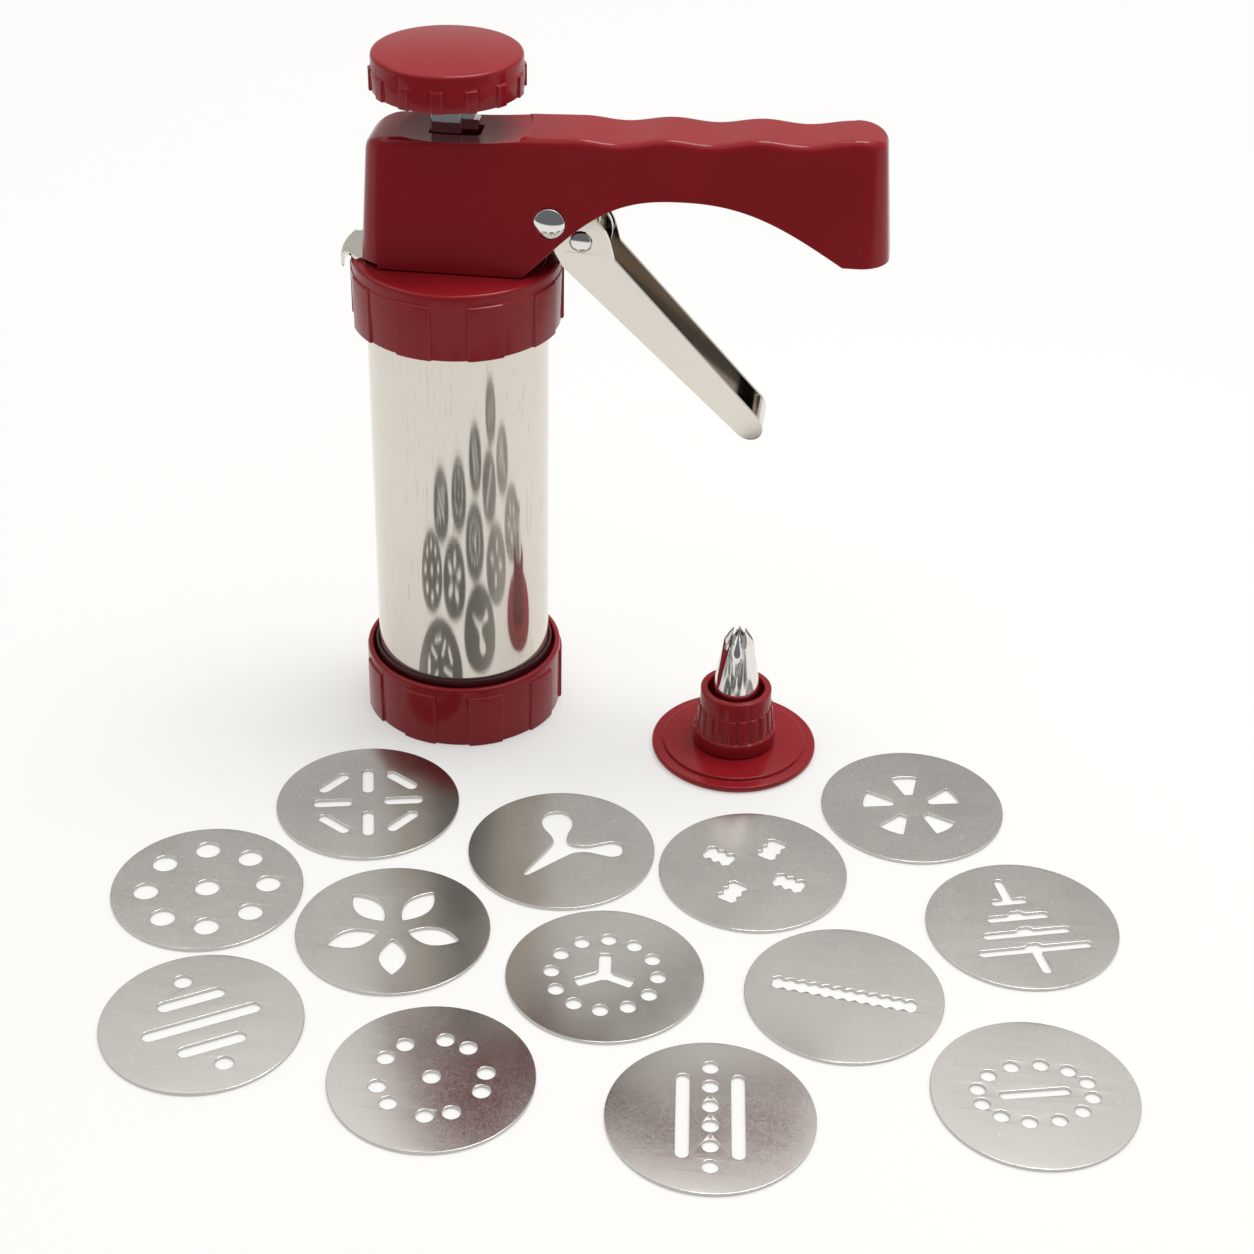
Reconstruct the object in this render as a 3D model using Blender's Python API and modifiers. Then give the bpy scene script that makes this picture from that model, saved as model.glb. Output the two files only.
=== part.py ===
"""Lever cookie press with its pattern discs and its star nozzle.

The press stands on its foot ring. Its axis is the Z axis of the press empty, the handle runs
along +X, and the discs and the nozzle lie in front of it. Lengths are in metres, angles in
degrees. At the end the whole set is moved so that its box is centred on the world's Z axis.
"""

import math

import bmesh
import bpy
from mathutils import Matrix, Vector

# Clearances
GAP = 0.0003
RUNNING_GAP = 0.0004
OVERRUN = 0.003
MERGE_DISTANCE = 0.000001

# Barrel and its threaded collars
BARREL_RADIUS = 0.0263
BARREL_WALL = 0.0008
BARREL_LENGTH = 0.1421
COLLAR_WALL = 0.0010
THREAD_DEPTH = 0.0006
LOWER_COLLAR_HEIGHT = 0.0186
UPPER_COLLAR_HEIGHT = 0.0125
THREAD_LENGTH = 0.0090

# Foot ring and top ring, with their raised grip panels
RING_WALL = 0.0016
PANEL_HEIGHT = 0.0007
BEAD_OUT = 0.00015
FOOT_HEIGHT = 0.0205
FOOT_PANEL_TOP = 0.0174
FOOT_LIP = 0.0022
FOOT_LIP_WIDTH = 0.0043
TOP_RING_HEIGHT = 0.0201
TOP_PANEL_TOP = 0.0164
TOP_LIP = 0.0030
RING_ROUND = 0.0008
PANEL_SLOPE = 0.0003
PANEL_COUNT = 9
PANEL_WIDTH_SHARE = 0.5
PANEL_DRAFT_SHARE = 0.015
FOOT_PANEL_ANGLE = -107.2
TOP_PANEL_ANGLE = -104.0
STEPS = 36

# Pattern discs
DISC_MARGIN = 0.0013
DISC_THICKNESS = 0.0010
DISC_PLAY = 0.0004

# Flange between the barrel and the handle
SHOULDER_MARGIN = 0.0009
SHOULDER_HEIGHT = 0.0022
BOSS_HEIGHT = 0.0028
RING_ABOVE_BOSS = 0.0005
SPIGOT_HEIGHT = 0.0040
SPIGOT_WALL = 0.0018

# Rod, piston and knob
ROD_DEPTH = 0.0086
ROD_WIDTH = 0.0070
ROD_CENTRE = -0.0016
STRIP_DEPTH = 0.0032
STRIP_WIDTH = 0.0036
TOOTH_HEIGHT = 0.0014
TOOTH_PITCH = 0.0080
PLAIN_LENGTH = 0.0150
PISTON_BOTTOM = 0.0145
PISTON_LAND = 0.0025
PISTON_HEIGHT = 0.0085
GROOVE_DEPTH = 0.0032
WASHER_RADIUS = 0.0075
WASHER_THICKNESS = 0.0010
PISTON_SCREW_RADIUS = 0.0018
PISTON_SCREW_LENGTH = 0.0160
PISTON_HEAD_RADIUS = 0.0045
PISTON_HEAD_HEIGHT = 0.0018
KNOB_RISE = 0.0109
KNOB_RADIUS = 0.0210
KNOB_EDGE_HEIGHT = 0.0103
KNOB_DOME = 0.0012
KNOB_ROUND = 0.0010
KNOB_WALL = 0.0018
KNOB_HUB_RADIUS = 0.0080
KNOB_POCKET = 0.0055
KNOB_RIB_COUNT = 14
KNOB_RIB_WIDTH = 0.00315
KNOB_RIB_OUT = 0.0007
KNOB_RIB_HEIGHT = 0.0063
KNOB_RIB_ANGLE = -87.4
KNOB_DRAFT_SHARE = 0.02

# Handle housing and grip, heights measured from its underside
NOSE_SETBACK = 0.0004
NOSE_ROUND = 0.0080
NOSE_LEAN_SHARE = 0.045
HANDLE_END_X = 0.1222
END_ROUND = 0.0065
END_LEAN_SHARE = -0.085
END_TOP_ROUND = 0.0036
NOSE_TOP_ROUND = 0.0045
HANDLE_HEIGHT = 0.0373
TOP_RISE_SHARE = 0.053
TOP_HALF_WIDTH = 0.0116
WIDTH_REFERENCE_X = -0.0170
WIDTH_TAPER_SHARE = 0.019
SIDE_TAPER_SHARE = 0.098
TOP_ROUND = 0.0023
HANDLE_WALL = 0.0023
HANDLE_ROOF = 0.0052
WAVE_START_X = 0.0349
WAVE_LENGTH = 0.0250
WAVE_COUNT = 3
WAVE_DEPTH = 0.0013
ARCH_START_X = 0.0211
ARCH_BEND = 0.0092
ARCH_CREST_X = 0.0665
ARCH_CREST_RISE = 0.02455
FOOT_X = 0.1096
FOOT_RISE = 0.0089
ARCH_PULL_SHARE = 0.38
ARCH_FALL_SHARE = 0.62
ARCH_STEPS = 9
NOSE_SLOT_X = -0.0197
NOSE_SLOT_HEIGHT = 0.0015
DISH_RADIUS = 0.0206
DISH_DEPTH = 0.0014
ROD_OPENING_MARGIN = 0.0007

# Screws from the flange into the handle
SCREW_PLACE_SHARES = (-0.50, 0.52)
SCREW_Y = 0.0104
SCREW_RADIUS = 0.0013
SCREW_LENGTH = 0.0140
SCREW_HEAD_RADIUS = 0.0026
SCREW_HEAD_HEIGHT = 0.0018
SCREW_BOSS_WALL = 0.0014

# Trigger and its drive, places measured from the pivot
PIVOT_X = 0.0286
PIVOT_RISE = 0.0164
TRIGGER_WIDTH = 0.0150
TRIGGER_SHEET = 0.0012
TRIGGER_BOSS_RADIUS = 0.0075
SHOULDER_POINT = (0.0124, -0.0012)
KINK_POINT = (0.0175, -0.0123)
TIP_CENTRE = (0.0570, -0.0611)
TIP_HALF_WIDTH = 0.0039
TIP_REACH = 0.0049
HEEL_POINT = (0.0030, -0.0152)
HEEL_TOP_POINT = (0.0004, -0.0104)
FOLD_START_POINT = (0.0086, -0.0203)
PIN_RADIUS = 0.0020
PIN_HEAD_RADIUS = 0.00435
PIN_HEAD_HEIGHT = 0.0015
PIN_DOME_SHARE = 0.6
PIN_CROWN_SHARE = 0.8
PIN_SEAT_DEPTH = 0.0005
PIN_BOSS_RADIUS = 0.0048
RIVET_POINT = (0.0080, -0.0073)
RIVET_RADIUS = 0.00295
RIVET_OUT = 0.0005
LINK_END_RADIUS = 0.0078
LINK_PIVOT_RADIUS = 0.0060
LINK_PAWL_RADIUS = 0.0034
LINK_NEAR_Y = 0.0020
LINK_THICKNESS = 0.0020
PAWL_POINT = (-0.0138, 0.0044)
PAWL_THICKNESS = 0.0034
PAWL_RADIUS = 0.0032
PAWL_REACH = 0.0064
PAWL_NOSE = 0.0009
PAWL_NOSE_DROP = 0.0018
PAWL_PIN_RADIUS = 0.0014
PAWL_PIN_HEAD_RADIUS = 0.0024
PAWL_PIN_HEAD = 0.0008
TRIGGER_SPRING_WIRE = 0.0008
TRIGGER_SPRING_RADIUS = 0.0037
TRIGGER_SPRING_PITCH = 0.0014
TRIGGER_SPRING_TURNS = 4
TRIGGER_SPRING_LEG = 0.0090

# Release plate under the nose
PLATE_LIFT = 0.0006
PLATE_THICKNESS = 0.0009
PLATE_HALF_WIDTH = 0.0070
PLATE_WIDE_X = -0.0177
PLATE_WIDE_HALF = 0.0110
PLATE_TIP_HALF = 0.0080
PLATE_LIP_MARGIN = 0.0013
PLATE_LIP_DROP = 0.0043
PLATE_END_X = 0.0120
PLATE_TAB_HEIGHT = 0.0048
PLATE_TAB_HALF = 0.0050
WINDOW_LEFT_X = -0.0080
WINDOW_RIGHT_X = 0.0076
WINDOW_HALF = 0.0039
SPRING_POST_X = 0.0180
SPRING_POST_THICKNESS = 0.0016
SPRING_POST_HEIGHT = 0.0062
RELEASE_SPRING_WIRE = 0.0006
RELEASE_SPRING_RADIUS = 0.0016
RELEASE_SPRING_TURNS = 4

# Nozzle set
NOZZLE_PLACE_SHARES = (3.222, -0.611)
ADAPTER_SEAT = 0.0011
ADAPTER_FLANGE = 0.0022
ADAPTER_STEP_MARGIN = 0.0022
ADAPTER_STEP = 0.0011
ADAPTER_BOSS_RADIUS = 0.0096
ADAPTER_BORE_RADIUS = 0.0076
ADAPTER_BOSS_TOP = 0.0141
NUT_BASE_RADIUS = 0.01255
NUT_BASE_TOP = 0.0081
NUT_BAND_RADIUS = 0.0117
NUT_BAND_TAPER = 0.0008
NUT_RIB_OUT = 0.0004
NUT_BAND_TOP = 0.0161
NUT_TOP = 0.0222
NUT_TOP_RADIUS = 0.0108
NUT_BORE_RADIUS = 0.0087
NUT_INNER_RADIUS = 0.0100
NUT_LIP = 0.0017
NUT_RIB_COUNT = 20
TIP_RIM_RADIUS = 0.0095
TIP_RIM = 0.0008
TIP_BASE_RADIUS = 0.0083
TIP_MOUTH_RADIUS = 0.0042
TIP_MOUTH_TOP = 0.0403
TIP_PRONG = 0.0047
TIP_WALL = 0.0006
TIP_LOBES = 6
TIP_FLUTE_SHARE = 0.22
TIP_FLUTE_START_SHARE = 0.5

# Where each disc lies, in disc radii from the press axis
DISC_PLACE_SHARES = {
    "disc_a": (-0.656, -2.337),
    "disc_b": (1.570, -2.844),
    "disc_c": (3.637, -2.904),
    "disc_d": (5.285, -1.504),
    "disc_e": (-2.000, -4.044),
    "disc_f": (0.056, -4.415),
    "disc_g": (2.300, -4.789),
    "disc_h": (4.704, -4.730),
    "disc_i": (6.478, -3.381),
    "disc_j": (-1.500, -6.067),
    "disc_k": (0.863, -6.496),
    "disc_l": (3.548, -6.626),
    "disc_m": (6.581, -5.874),
}

# Places that follow from the sizes above
BARREL_BOTTOM = FOOT_LIP + DISC_THICKNESS + DISC_PLAY
BARREL_TOP = BARREL_BOTTOM + BARREL_LENGTH
BARREL_INNER = BARREL_RADIUS - BARREL_WALL
COLLAR_RADIUS = BARREL_RADIUS + COLLAR_WALL
THREAD_RADIUS = COLLAR_RADIUS + THREAD_DEPTH
RIM_RADIUS = THREAD_RADIUS + RUNNING_GAP
RING_RADIUS = RIM_RADIUS + RING_WALL
FOOT_MOUTH_RADIUS = RIM_RADIUS - FOOT_LIP_WIDTH
DISC_RADIUS = RIM_RADIUS - DISC_MARGIN
SHOULDER_RADIUS = RIM_RADIUS - SHOULDER_MARGIN
BOSS_RADIUS = BARREL_RADIUS - GAP
PISTON_RADIUS = BARREL_INNER - GAP
PISTON_CORE_RADIUS = PISTON_RADIUS - GROOVE_DEPTH
SHOULDER_BOTTOM = BARREL_TOP + GAP
SHOULDER_TOP = SHOULDER_BOTTOM + SHOULDER_HEIGHT
BOSS_TOP = SHOULDER_TOP + BOSS_HEIGHT
TOP_RING_TOP = BOSS_TOP + RING_ABOVE_BOSS
TOP_RING_BOTTOM = TOP_RING_TOP - TOP_RING_HEIGHT
HANDLE_BOTTOM = BOSS_TOP + GAP
NOSE_X = -BOSS_RADIUS + NOSE_SETBACK
SCREW_PLACES = [
    (share * BOSS_RADIUS, side * SCREW_Y) for share in SCREW_PLACE_SHARES for side in (-1, 1)
]
PIVOT_Z = HANDLE_BOTTOM + PIVOT_RISE
ROD_LEFT = ROD_CENTRE - ROD_DEPTH / 2
ROD_RIGHT = ROD_CENTRE + ROD_DEPTH / 2
STRIP_RIGHT = ROD_RIGHT + STRIP_DEPTH
TOOTH_TIP = STRIP_RIGHT + TOOTH_HEIGHT
ROOF_RISE = HANDLE_HEIGHT + TOP_RISE_SHARE * (ROD_CENTRE - WIDTH_REFERENCE_X)
KNOB_BOTTOM = HANDLE_BOTTOM + ROOF_RISE + KNOB_RISE
PISTON_TOP = PISTON_BOTTOM + PISTON_HEIGHT
WASHER_BOTTOM = PISTON_TOP + GAP
ROD_BOTTOM = WASHER_BOTTOM + WASHER_THICKNESS + GAP
ROD_TOP = KNOB_BOTTOM + KNOB_POCKET - GAP
STRIP_TOP = KNOB_BOTTOM - GAP
TOOTH_COUNT = int((STRIP_TOP - ROD_BOTTOM - PLAIN_LENGTH) / TOOTH_PITCH)
PLATE_BOTTOM = BOSS_TOP + PLATE_LIFT
PLATE_TOP = PLATE_BOTTOM + PLATE_THICKNESS
PLATE_LIP_RADIUS = RING_RADIUS + PANEL_HEIGHT + PLATE_LIP_MARGIN
ADAPTER_RADIUS = FOOT_MOUTH_RADIUS + ADAPTER_SEAT
ADAPTER_STEP_RADIUS = FOOT_MOUTH_RADIUS - ADAPTER_STEP_MARGIN
NOZZLE_PLACE = tuple(share * DISC_RADIUS for share in NOZZLE_PLACE_SHARES)

RED = (0.150, 0.010, 0.015, 1.0)
DARK_RED = (0.060, 0.005, 0.008, 1.0)
STEEL = (0.560, 0.550, 0.540, 1.0)
BRIGHT_STEEL = (0.720, 0.710, 0.700, 1.0)
BLACK_RUBBER = (0.030, 0.030, 0.032, 1.0)


# Scene, objects and materials


def clear_scene():
    """Removes every object, so that only the press and its set are left."""
    for old in list(bpy.data.objects):
        bpy.data.objects.remove(old, do_unlink=True)


def new_collection(name):
    """A new collection under the scene's own."""
    made = bpy.data.collections.new(name)
    bpy.context.scene.collection.children.link(made)
    return made


def new_material(name, colour, roughness, metallic):
    """A Principled material with one colour."""
    made = bpy.data.materials.new(name)
    made.use_nodes = True
    shader = made.node_tree.nodes["Principled BSDF"]
    shader.inputs["Base Color"].default_value = colour
    shader.inputs["Roughness"].default_value = roughness
    shader.inputs["Metallic"].default_value = metallic
    made.diffuse_color = colour
    return made


class Workshop:
    """Holds the collections, and makes, cuts and finishes the pieces."""

    def __init__(self):
        self.parts = new_collection("cookie_press")
        self.cutters = new_collection("cutters")
        self.cutters.hide_render = True
        self.finished = []

    def add(self, name, data):
        made = bpy.data.objects.new(name, data)
        self.cutters.objects.link(made)
        made.hide_render = True
        made.display_type = "WIRE"
        return made

    def empty(self, name, place, parent=None):
        """An empty on a joint's axis or at a seat."""
        made = bpy.data.objects.new(name, None)
        self.parts.objects.link(made)
        made.location = place
        made.parent = parent
        if parent:
            bpy.context.view_layer.update()
            made.matrix_parent_inverse = parent.matrix_world.inverted()
        bpy.context.view_layer.update()
        return made

    def evaluated_mesh(self, piece):
        graph = bpy.context.evaluated_depsgraph_get()
        graph.update()
        return bpy.data.meshes.new_from_object(piece.evaluated_get(graph))

    def combine(self, piece, other, operation):
        """Cuts the other shape from the piece, or joins it to the piece, and applies the result."""
        modifier = piece.modifiers.new(other.name, "BOOLEAN")
        modifier.operation = operation
        modifier.object = other
        modifier.solver = "EXACT"
        result = self.evaluated_mesh(piece)
        piece.modifiers.clear()
        piece.data = result
        return piece

    def cut(self, piece, *others):
        for other in others:
            self.combine(piece, other, "DIFFERENCE")
        return piece

    def join(self, piece, *others):
        for other in others:
            self.combine(piece, other, "UNION")
        return piece

    def finish(self, piece, material, parent):
        """Shades the piece, gives it its material and hangs it on its empty."""
        mesh = piece.data
        mesh.name = piece.name
        mesh.materials.clear()
        mesh.materials.append(material)
        mesh.shade_smooth()
        mesh.set_sharp_from_angle(angle=math.radians(32))
        piece.hide_render = False
        piece.display_type = "TEXTURED"
        self.cutters.objects.unlink(piece)
        self.parts.objects.link(piece)
        bpy.context.view_layer.update()
        piece.parent = parent
        piece.matrix_parent_inverse = parent.matrix_world.inverted()
        self.finished.append(piece)
        return piece

    # Shapes

    def turned(self, name, profile, steps=STEPS, closed=False):
        """Turns a profile of (radius, height) points round Z. It runs down its outer side.

        A closed profile is a ring's section. An open one starts and ends on the axis.
        """
        mesh = bpy.data.meshes.new(name)
        edges = [(i, i + 1) for i in range(len(profile) - 1)]
        if closed:
            edges.append((len(profile) - 1, 0))
        mesh.from_pydata([(radius, 0, height) for radius, height in profile], edges, [])
        piece = self.add(name, mesh)
        screw = piece.modifiers.new("Turn", "SCREW")
        screw.steps = steps
        screw.render_steps = steps
        screw.use_merge_vertices = True
        screw.merge_threshold = MERGE_DISTANCE
        result = self.evaluated_mesh(piece)
        piece.modifiers.clear()
        piece.data = result
        return piece

    def flat(self, name, outlines, thickness):
        """A plate whose first outline is its rim and whose others are its holes, centred on Z = 0."""
        curve = bpy.data.curves.new(name, "CURVE")
        curve.dimensions = "2D"
        curve.fill_mode = "BOTH"
        curve.extrude = thickness / 2
        for outline in outlines:
            spline = curve.splines.new("POLY")
            spline.points.add(len(outline) - 1)
            for point, (x, y) in zip(spline.points, outline):
                point.co = (x, y, 0, 1)
            spline.use_cyclic_u = True
        guide = self.add(name + "_outline", curve)
        mesh = self.evaluated_mesh(guide)
        bpy.data.objects.remove(guide, do_unlink=True)
        shape = bmesh.new()
        shape.from_mesh(mesh)
        bmesh.ops.remove_doubles(shape, verts=shape.verts, dist=MERGE_DISTANCE)
        bmesh.ops.recalc_face_normals(shape, faces=shape.faces)
        shape.to_mesh(mesh)
        shape.free()
        return self.add(name, mesh)

    def side_plate(self, name, outlines, low_y, high_y):
        """A plate whose outlines are in the side view, as (x, z), from low_y to high_y."""
        piece = self.flat(name, outlines, high_y - low_y)
        turn = Matrix.Rotation(math.radians(90), 4, "X")
        piece.data.transform(Matrix.Translation((0, (low_y + high_y) / 2, 0)) @ turn)
        return piece

    def box(self, name, low, high):
        """A box between two corners."""
        shape = bmesh.new()
        bmesh.ops.create_cube(shape, size=1)
        size = Vector(high) - Vector(low)
        centre = (Vector(high) + Vector(low)) / 2
        bmesh.ops.scale(shape, verts=shape.verts, vec=size)
        bmesh.ops.translate(shape, verts=shape.verts, vec=centre)
        mesh = bpy.data.meshes.new(name)
        shape.to_mesh(mesh)
        shape.free()
        return self.add(name, mesh)

    def rod(self, name, radius, low, high, steps=12):
        """A cylinder between two points."""
        low, high = Vector(low), Vector(high)
        shape = bmesh.new()
        length = (high - low).length
        bmesh.ops.create_cone(
            shape, cap_ends=True, segments=steps, radius1=radius, radius2=radius, depth=length
        )
        turn = (high - low).to_track_quat("Z", "Y").to_matrix().to_4x4()
        shape.transform(Matrix.Translation((low + high) / 2) @ turn)
        mesh = bpy.data.meshes.new(name)
        shape.to_mesh(mesh)
        shape.free()
        return self.add(name, mesh)

    def loft(self, name, sections, ring=False):
        """Joins unlike sections, each a loop of points, into one body."""
        shape = bmesh.new()
        loops = [[shape.verts.new(point) for point in section] for section in sections]
        count = len(sections[0])
        following = loops[1:] + loops[:1] if ring else loops[1:]
        for here, there in zip(loops, following):
            for i in range(count):
                j = (i + 1) % count
                shape.faces.new((here[i], here[j], there[j], there[i]))
        if not ring:
            shape.faces.new(loops[0])
            shape.faces.new(loops[-1])
        bmesh.ops.remove_doubles(shape, verts=shape.verts, dist=MERGE_DISTANCE)
        bmesh.ops.dissolve_degenerate(shape, edges=shape.edges, dist=MERGE_DISTANCE)
        bmesh.ops.recalc_face_normals(shape, faces=shape.faces)
        mesh = bpy.data.meshes.new(name)
        shape.to_mesh(mesh)
        shape.free()
        return self.add(name, mesh)

    def hull(self, name, circles, low_y, high_y, steps=16):
        """A plate round several circles (x, z, radius) of the side view."""
        shape = bmesh.new()
        for x, z, radius in circles:
            for across, up in circle((x, z), radius, steps):
                shape.verts.new((across, low_y, up))
                shape.verts.new((across, high_y, up))
        made = bmesh.ops.convex_hull(shape, input=shape.verts)
        inside = {item for item in made["geom_interior"] if isinstance(item, bmesh.types.BMVert)}
        bmesh.ops.delete(shape, geom=list(inside), context="VERTS")
        bmesh.ops.dissolve_limit(
            shape, angle_limit=math.radians(1), verts=shape.verts, edges=shape.edges
        )
        bmesh.ops.recalc_face_normals(shape, faces=shape.faces)
        mesh = bpy.data.meshes.new(name)
        shape.to_mesh(mesh)
        shape.free()
        return self.add(name, mesh)

    def wire(self, name, points, radius):
        """An unbroken tube through the points."""
        curve = bpy.data.curves.new(name, "CURVE")
        curve.dimensions = "3D"
        curve.bevel_depth = radius
        curve.bevel_resolution = 1
        curve.use_fill_caps = True
        spline = curve.splines.new("POLY")
        spline.points.add(len(points) - 1)
        for point, place in zip(spline.points, points):
            point.co = (*place, 1)
        guide = self.add(name + "_route", curve)
        mesh = self.evaluated_mesh(guide)
        bpy.data.objects.remove(guide, do_unlink=True)
        shape = bmesh.new()
        shape.from_mesh(mesh)
        bmesh.ops.remove_doubles(shape, verts=shape.verts, dist=MERGE_DISTANCE)
        bmesh.ops.recalc_face_normals(shape, faces=shape.faces)
        shape.to_mesh(mesh)
        shape.free()
        return self.add(name, mesh)


# Outlines in the plane


def polar(radius, degrees, centre=(0, 0)):
    angle = math.radians(degrees)
    return centre[0] + radius * math.cos(angle), centre[1] + radius * math.sin(angle)


def arc(centre, radius, first, last, count):
    """Points along an arc, both ends included."""
    return [
        polar(radius, first + (last - first) * i / (count - 1), centre) for i in range(count)
    ]


def circle(centre, radius, count):
    return [polar(radius, 360 * i / count, centre) for i in range(count)]


def spun(outline, degrees, centre=(0, 0)):
    """The outline turned round the origin and then moved to the centre."""
    angle = math.radians(degrees)
    c, s = math.cos(angle), math.sin(angle)
    return [(centre[0] + c * x - s * y, centre[1] + s * x + c * y) for x, y in outline]


def around(outline, count, first):
    """Copies of an outline spaced evenly round the centre."""
    return [spun(outline, first + 360 * i / count) for i in range(count)]


def slot(centre, length, width, degrees=0):
    """A slot with round ends, lying along the given direction."""
    reach = (length - width) / 2
    outline = arc((reach, 0), width / 2, -90, 90, 5) + arc((-reach, 0), width / 2, 90, 270, 5)
    return spun(outline, degrees, centre)


def bezier(first, pull_out, pull_in, last, count):
    """Points of a cubic curve, without its first point."""
    points = []
    for i in range(1, count + 1):
        t = i / count
        weights = ((1 - t) ** 3, 3 * t * (1 - t) ** 2, 3 * t * t * (1 - t), t**3)
        ends = (first, pull_out, pull_in, last)
        points.append(tuple(sum(w * p[k] for w, p in zip(weights, ends)) for k in (0, 1)))
    return points


def limbs(parts):
    """An outline of several limbs from one centre: (direction, ((distance, half width), ...))."""
    outline = []
    for degrees, stations in parts:
        right = [(along, -half) for along, half in stations]
        left = [(along, half) for along, half in reversed(stations)]
        outline += spun(right + left, degrees)
    return outline


def wavy(length, half_width, wave, count):
    """A slot whose long sides are wavy, both sides bulging together."""
    per_wave = 4
    total = count * per_wave
    upper = []
    for i in range(total + 1):
        swell = wave * math.cos(2 * math.pi * i / per_wave)
        upper.append((length * (i / total - 1 / 2), half_width - swell))
    return upper + [(x, -y) for x, y in reversed(upper)]


def sheared_bar(length, thickness, lean, bulge, bulge_half, post_half, post_up, post_down):
    """A bar that leans, with a bulge or an upright post above it and a post below it."""
    end = thickness / 2
    reach = length / 2 - end
    right = arc((reach, 0), end, -90, 90, 5)
    left = arc((-reach, 0), end, 90, 270, 5)
    above = []
    below = []
    if bulge:
        flat_half = bulge_half / 2
        above = [(bulge_half, end), (flat_half, end + bulge)]
        above += [(-flat_half, end + bulge), (-bulge_half, end)]
    if post_up:
        above = [(post_half, end)] + arc((0, post_up), post_half, 0, 180, 5) + [(-post_half, end)]
    if post_down:
        below = [(-post_half, -end)] + arc((0, -post_down), post_half, 180, 360, 5)
        below += [(post_half, -end)]
    outline = right + above + left + below
    return [(x, y + lean * x) for x, y in outline]


# Disc patterns: each gives the outlines of its holes


def crossed_slots():
    length = 0.0115
    width = 0.0033
    radial_middle = 0.0104
    crosswise_middle = 0.0142
    radial = around(slot((radial_middle, 0), length, width), 4, 12.5)
    crosswise = around(slot((crosswise_middle, 0), length, width, 90), 4, 57.5)
    return radial + crosswise


def three_limbs():
    reach = 0.0180
    arm_shares = ((0.20, 0.10), (0.42, 0.08), (0.62, 0.14), (0.83, 0.19), (0.97, 0.11))
    lobe_shares = ((0.20, 0.11), (0.38, 0.14), (0.58, 0.23), (0.80, 0.24), (0.96, 0.12))
    tail_shares = ((0.16, 0.16), (0.44, 0.11), (0.68, 0.07), (0.86, 0.03))
    parts = []
    for degrees, shares in ((8, arm_shares), (104, lobe_shares), (237, tail_shares)):
        stations = [(along * reach, half * reach) for along, half in shares]
        parts.append((degrees, stations))
    return [limbs(parts)]


def spools():
    length = 0.0090
    half_width = 0.0026
    wave = 0.0005
    middle = 0.0115
    outline = [(x + middle, y) for x, y in wavy(length, half_width, wave, 3)]
    return [spun(outline, degrees) for degrees in (153, 66, -21, -115)]


def wedges():
    inner = 0.0055
    outer = 0.0145
    inner_half = 0.0012
    outer_half = 0.0040
    crown = 0.0005
    outline = [(inner, -inner_half), (outer - crown, -outer_half), (outer, 0)]
    outline += [(outer - crown, outer_half), (inner, inner_half)]
    return around(outline, 5, 102)


def nine_holes():
    radius = 0.0035
    pitch_radius = 0.0171
    ring = around(circle((pitch_radius, 0), radius, 10), 8, 14.5)
    return [circle((0, 0), radius, 10)] + ring


def petals():
    inner = 0.0045
    outer = 0.0190
    half_width = 0.0037
    fullness = 0.85
    steps = 7
    upper = []
    for i in range(steps + 1):
        t = i / steps
        swell = math.sin(math.pi * t) ** fullness
        upper.append((inner + (outer - inner) * t, half_width * swell))
    outline = upper + [(x, -y) for x, y in reversed(upper[1:-1])]
    return around(outline, 5, 65)


def star_in_ring():
    radius = 0.0022
    pitch_radius = 0.0145
    arm_half = 0.0017
    arm_length = 0.0085
    start = 0.0018
    stations = ((start, arm_half), (arm_length - arm_half, arm_half), (arm_length, arm_half / 2))
    centre = limbs([(degrees, stations) for degrees in (-20, 96, 211)])
    return [centre] + around(circle((pitch_radius, 0), radius, 8), 12, 3)


def wavy_ribbon():
    length = 0.0395
    half_width = 0.0021
    wave = 0.0004
    return [spun(wavy(length, half_width, wave, 12), -7)]


def fir_tree():
    spacing = 0.0070
    top_bar = 0.0104
    bar_length = 0.0105
    bar_growth = 0.0073
    thickness = 0.0026
    bulge = 0.0012
    bulge_half = 0.0026
    post_half = 0.0014
    stem = 0.0086
    trunk = 0.0088
    lean_share = -0.06
    holes = []
    for i in range(4):
        length = bar_length + i * bar_growth
        post_up = stem if i == 0 else 0
        post_down = trunk if i == 3 else 0
        swell = 0 if i == 0 else bulge
        bar = sheared_bar(
            length, thickness, lean_share, swell, bulge_half, post_half, post_up, post_down
        )
        height = top_bar - i * spacing
        holes.append(spun([(x, y + height) for x, y in bar], 20))
    return holes


def three_slots():
    width = 0.0040
    offset = 0.0095
    long_slot = 0.0323
    short_slot = 0.0185
    hole_radius = 0.0025
    hole_middle = 0.0174
    holes = [slot((0, 0), long_slot, width, 32)]
    holes += [slot(polar(offset, degrees), short_slot, width, 32) for degrees in (122, -58)]
    holes += [circle(polar(hole_middle, degrees), hole_radius, 8) for degrees in (122, -55)]
    return holes


def hole_pairs():
    radius = 0.00235
    pitch_radius = 0.0141
    half_angle = 14
    holes = [circle((0, 0), radius, 8)]
    for side in (-half_angle, half_angle):
        holes += around(circle((pitch_radius, 0), radius, 8), 5, side)
    return holes


def holes_and_rails():
    radius = 0.0022
    spacing = 0.00705
    rail_length = 0.0299
    rail_width = 0.0035
    rail_offset = 0.0071
    count = 6
    holes = []
    for i in range(count):
        along = spacing * (i - (count - 1) / 2)
        holes.append(circle((along, 0), radius, 8))
    holes += [slot((0, side * rail_offset), rail_length, rail_width) for side in (-1, 1)]
    return [spun(hole, 95.5) for hole in holes]


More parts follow.
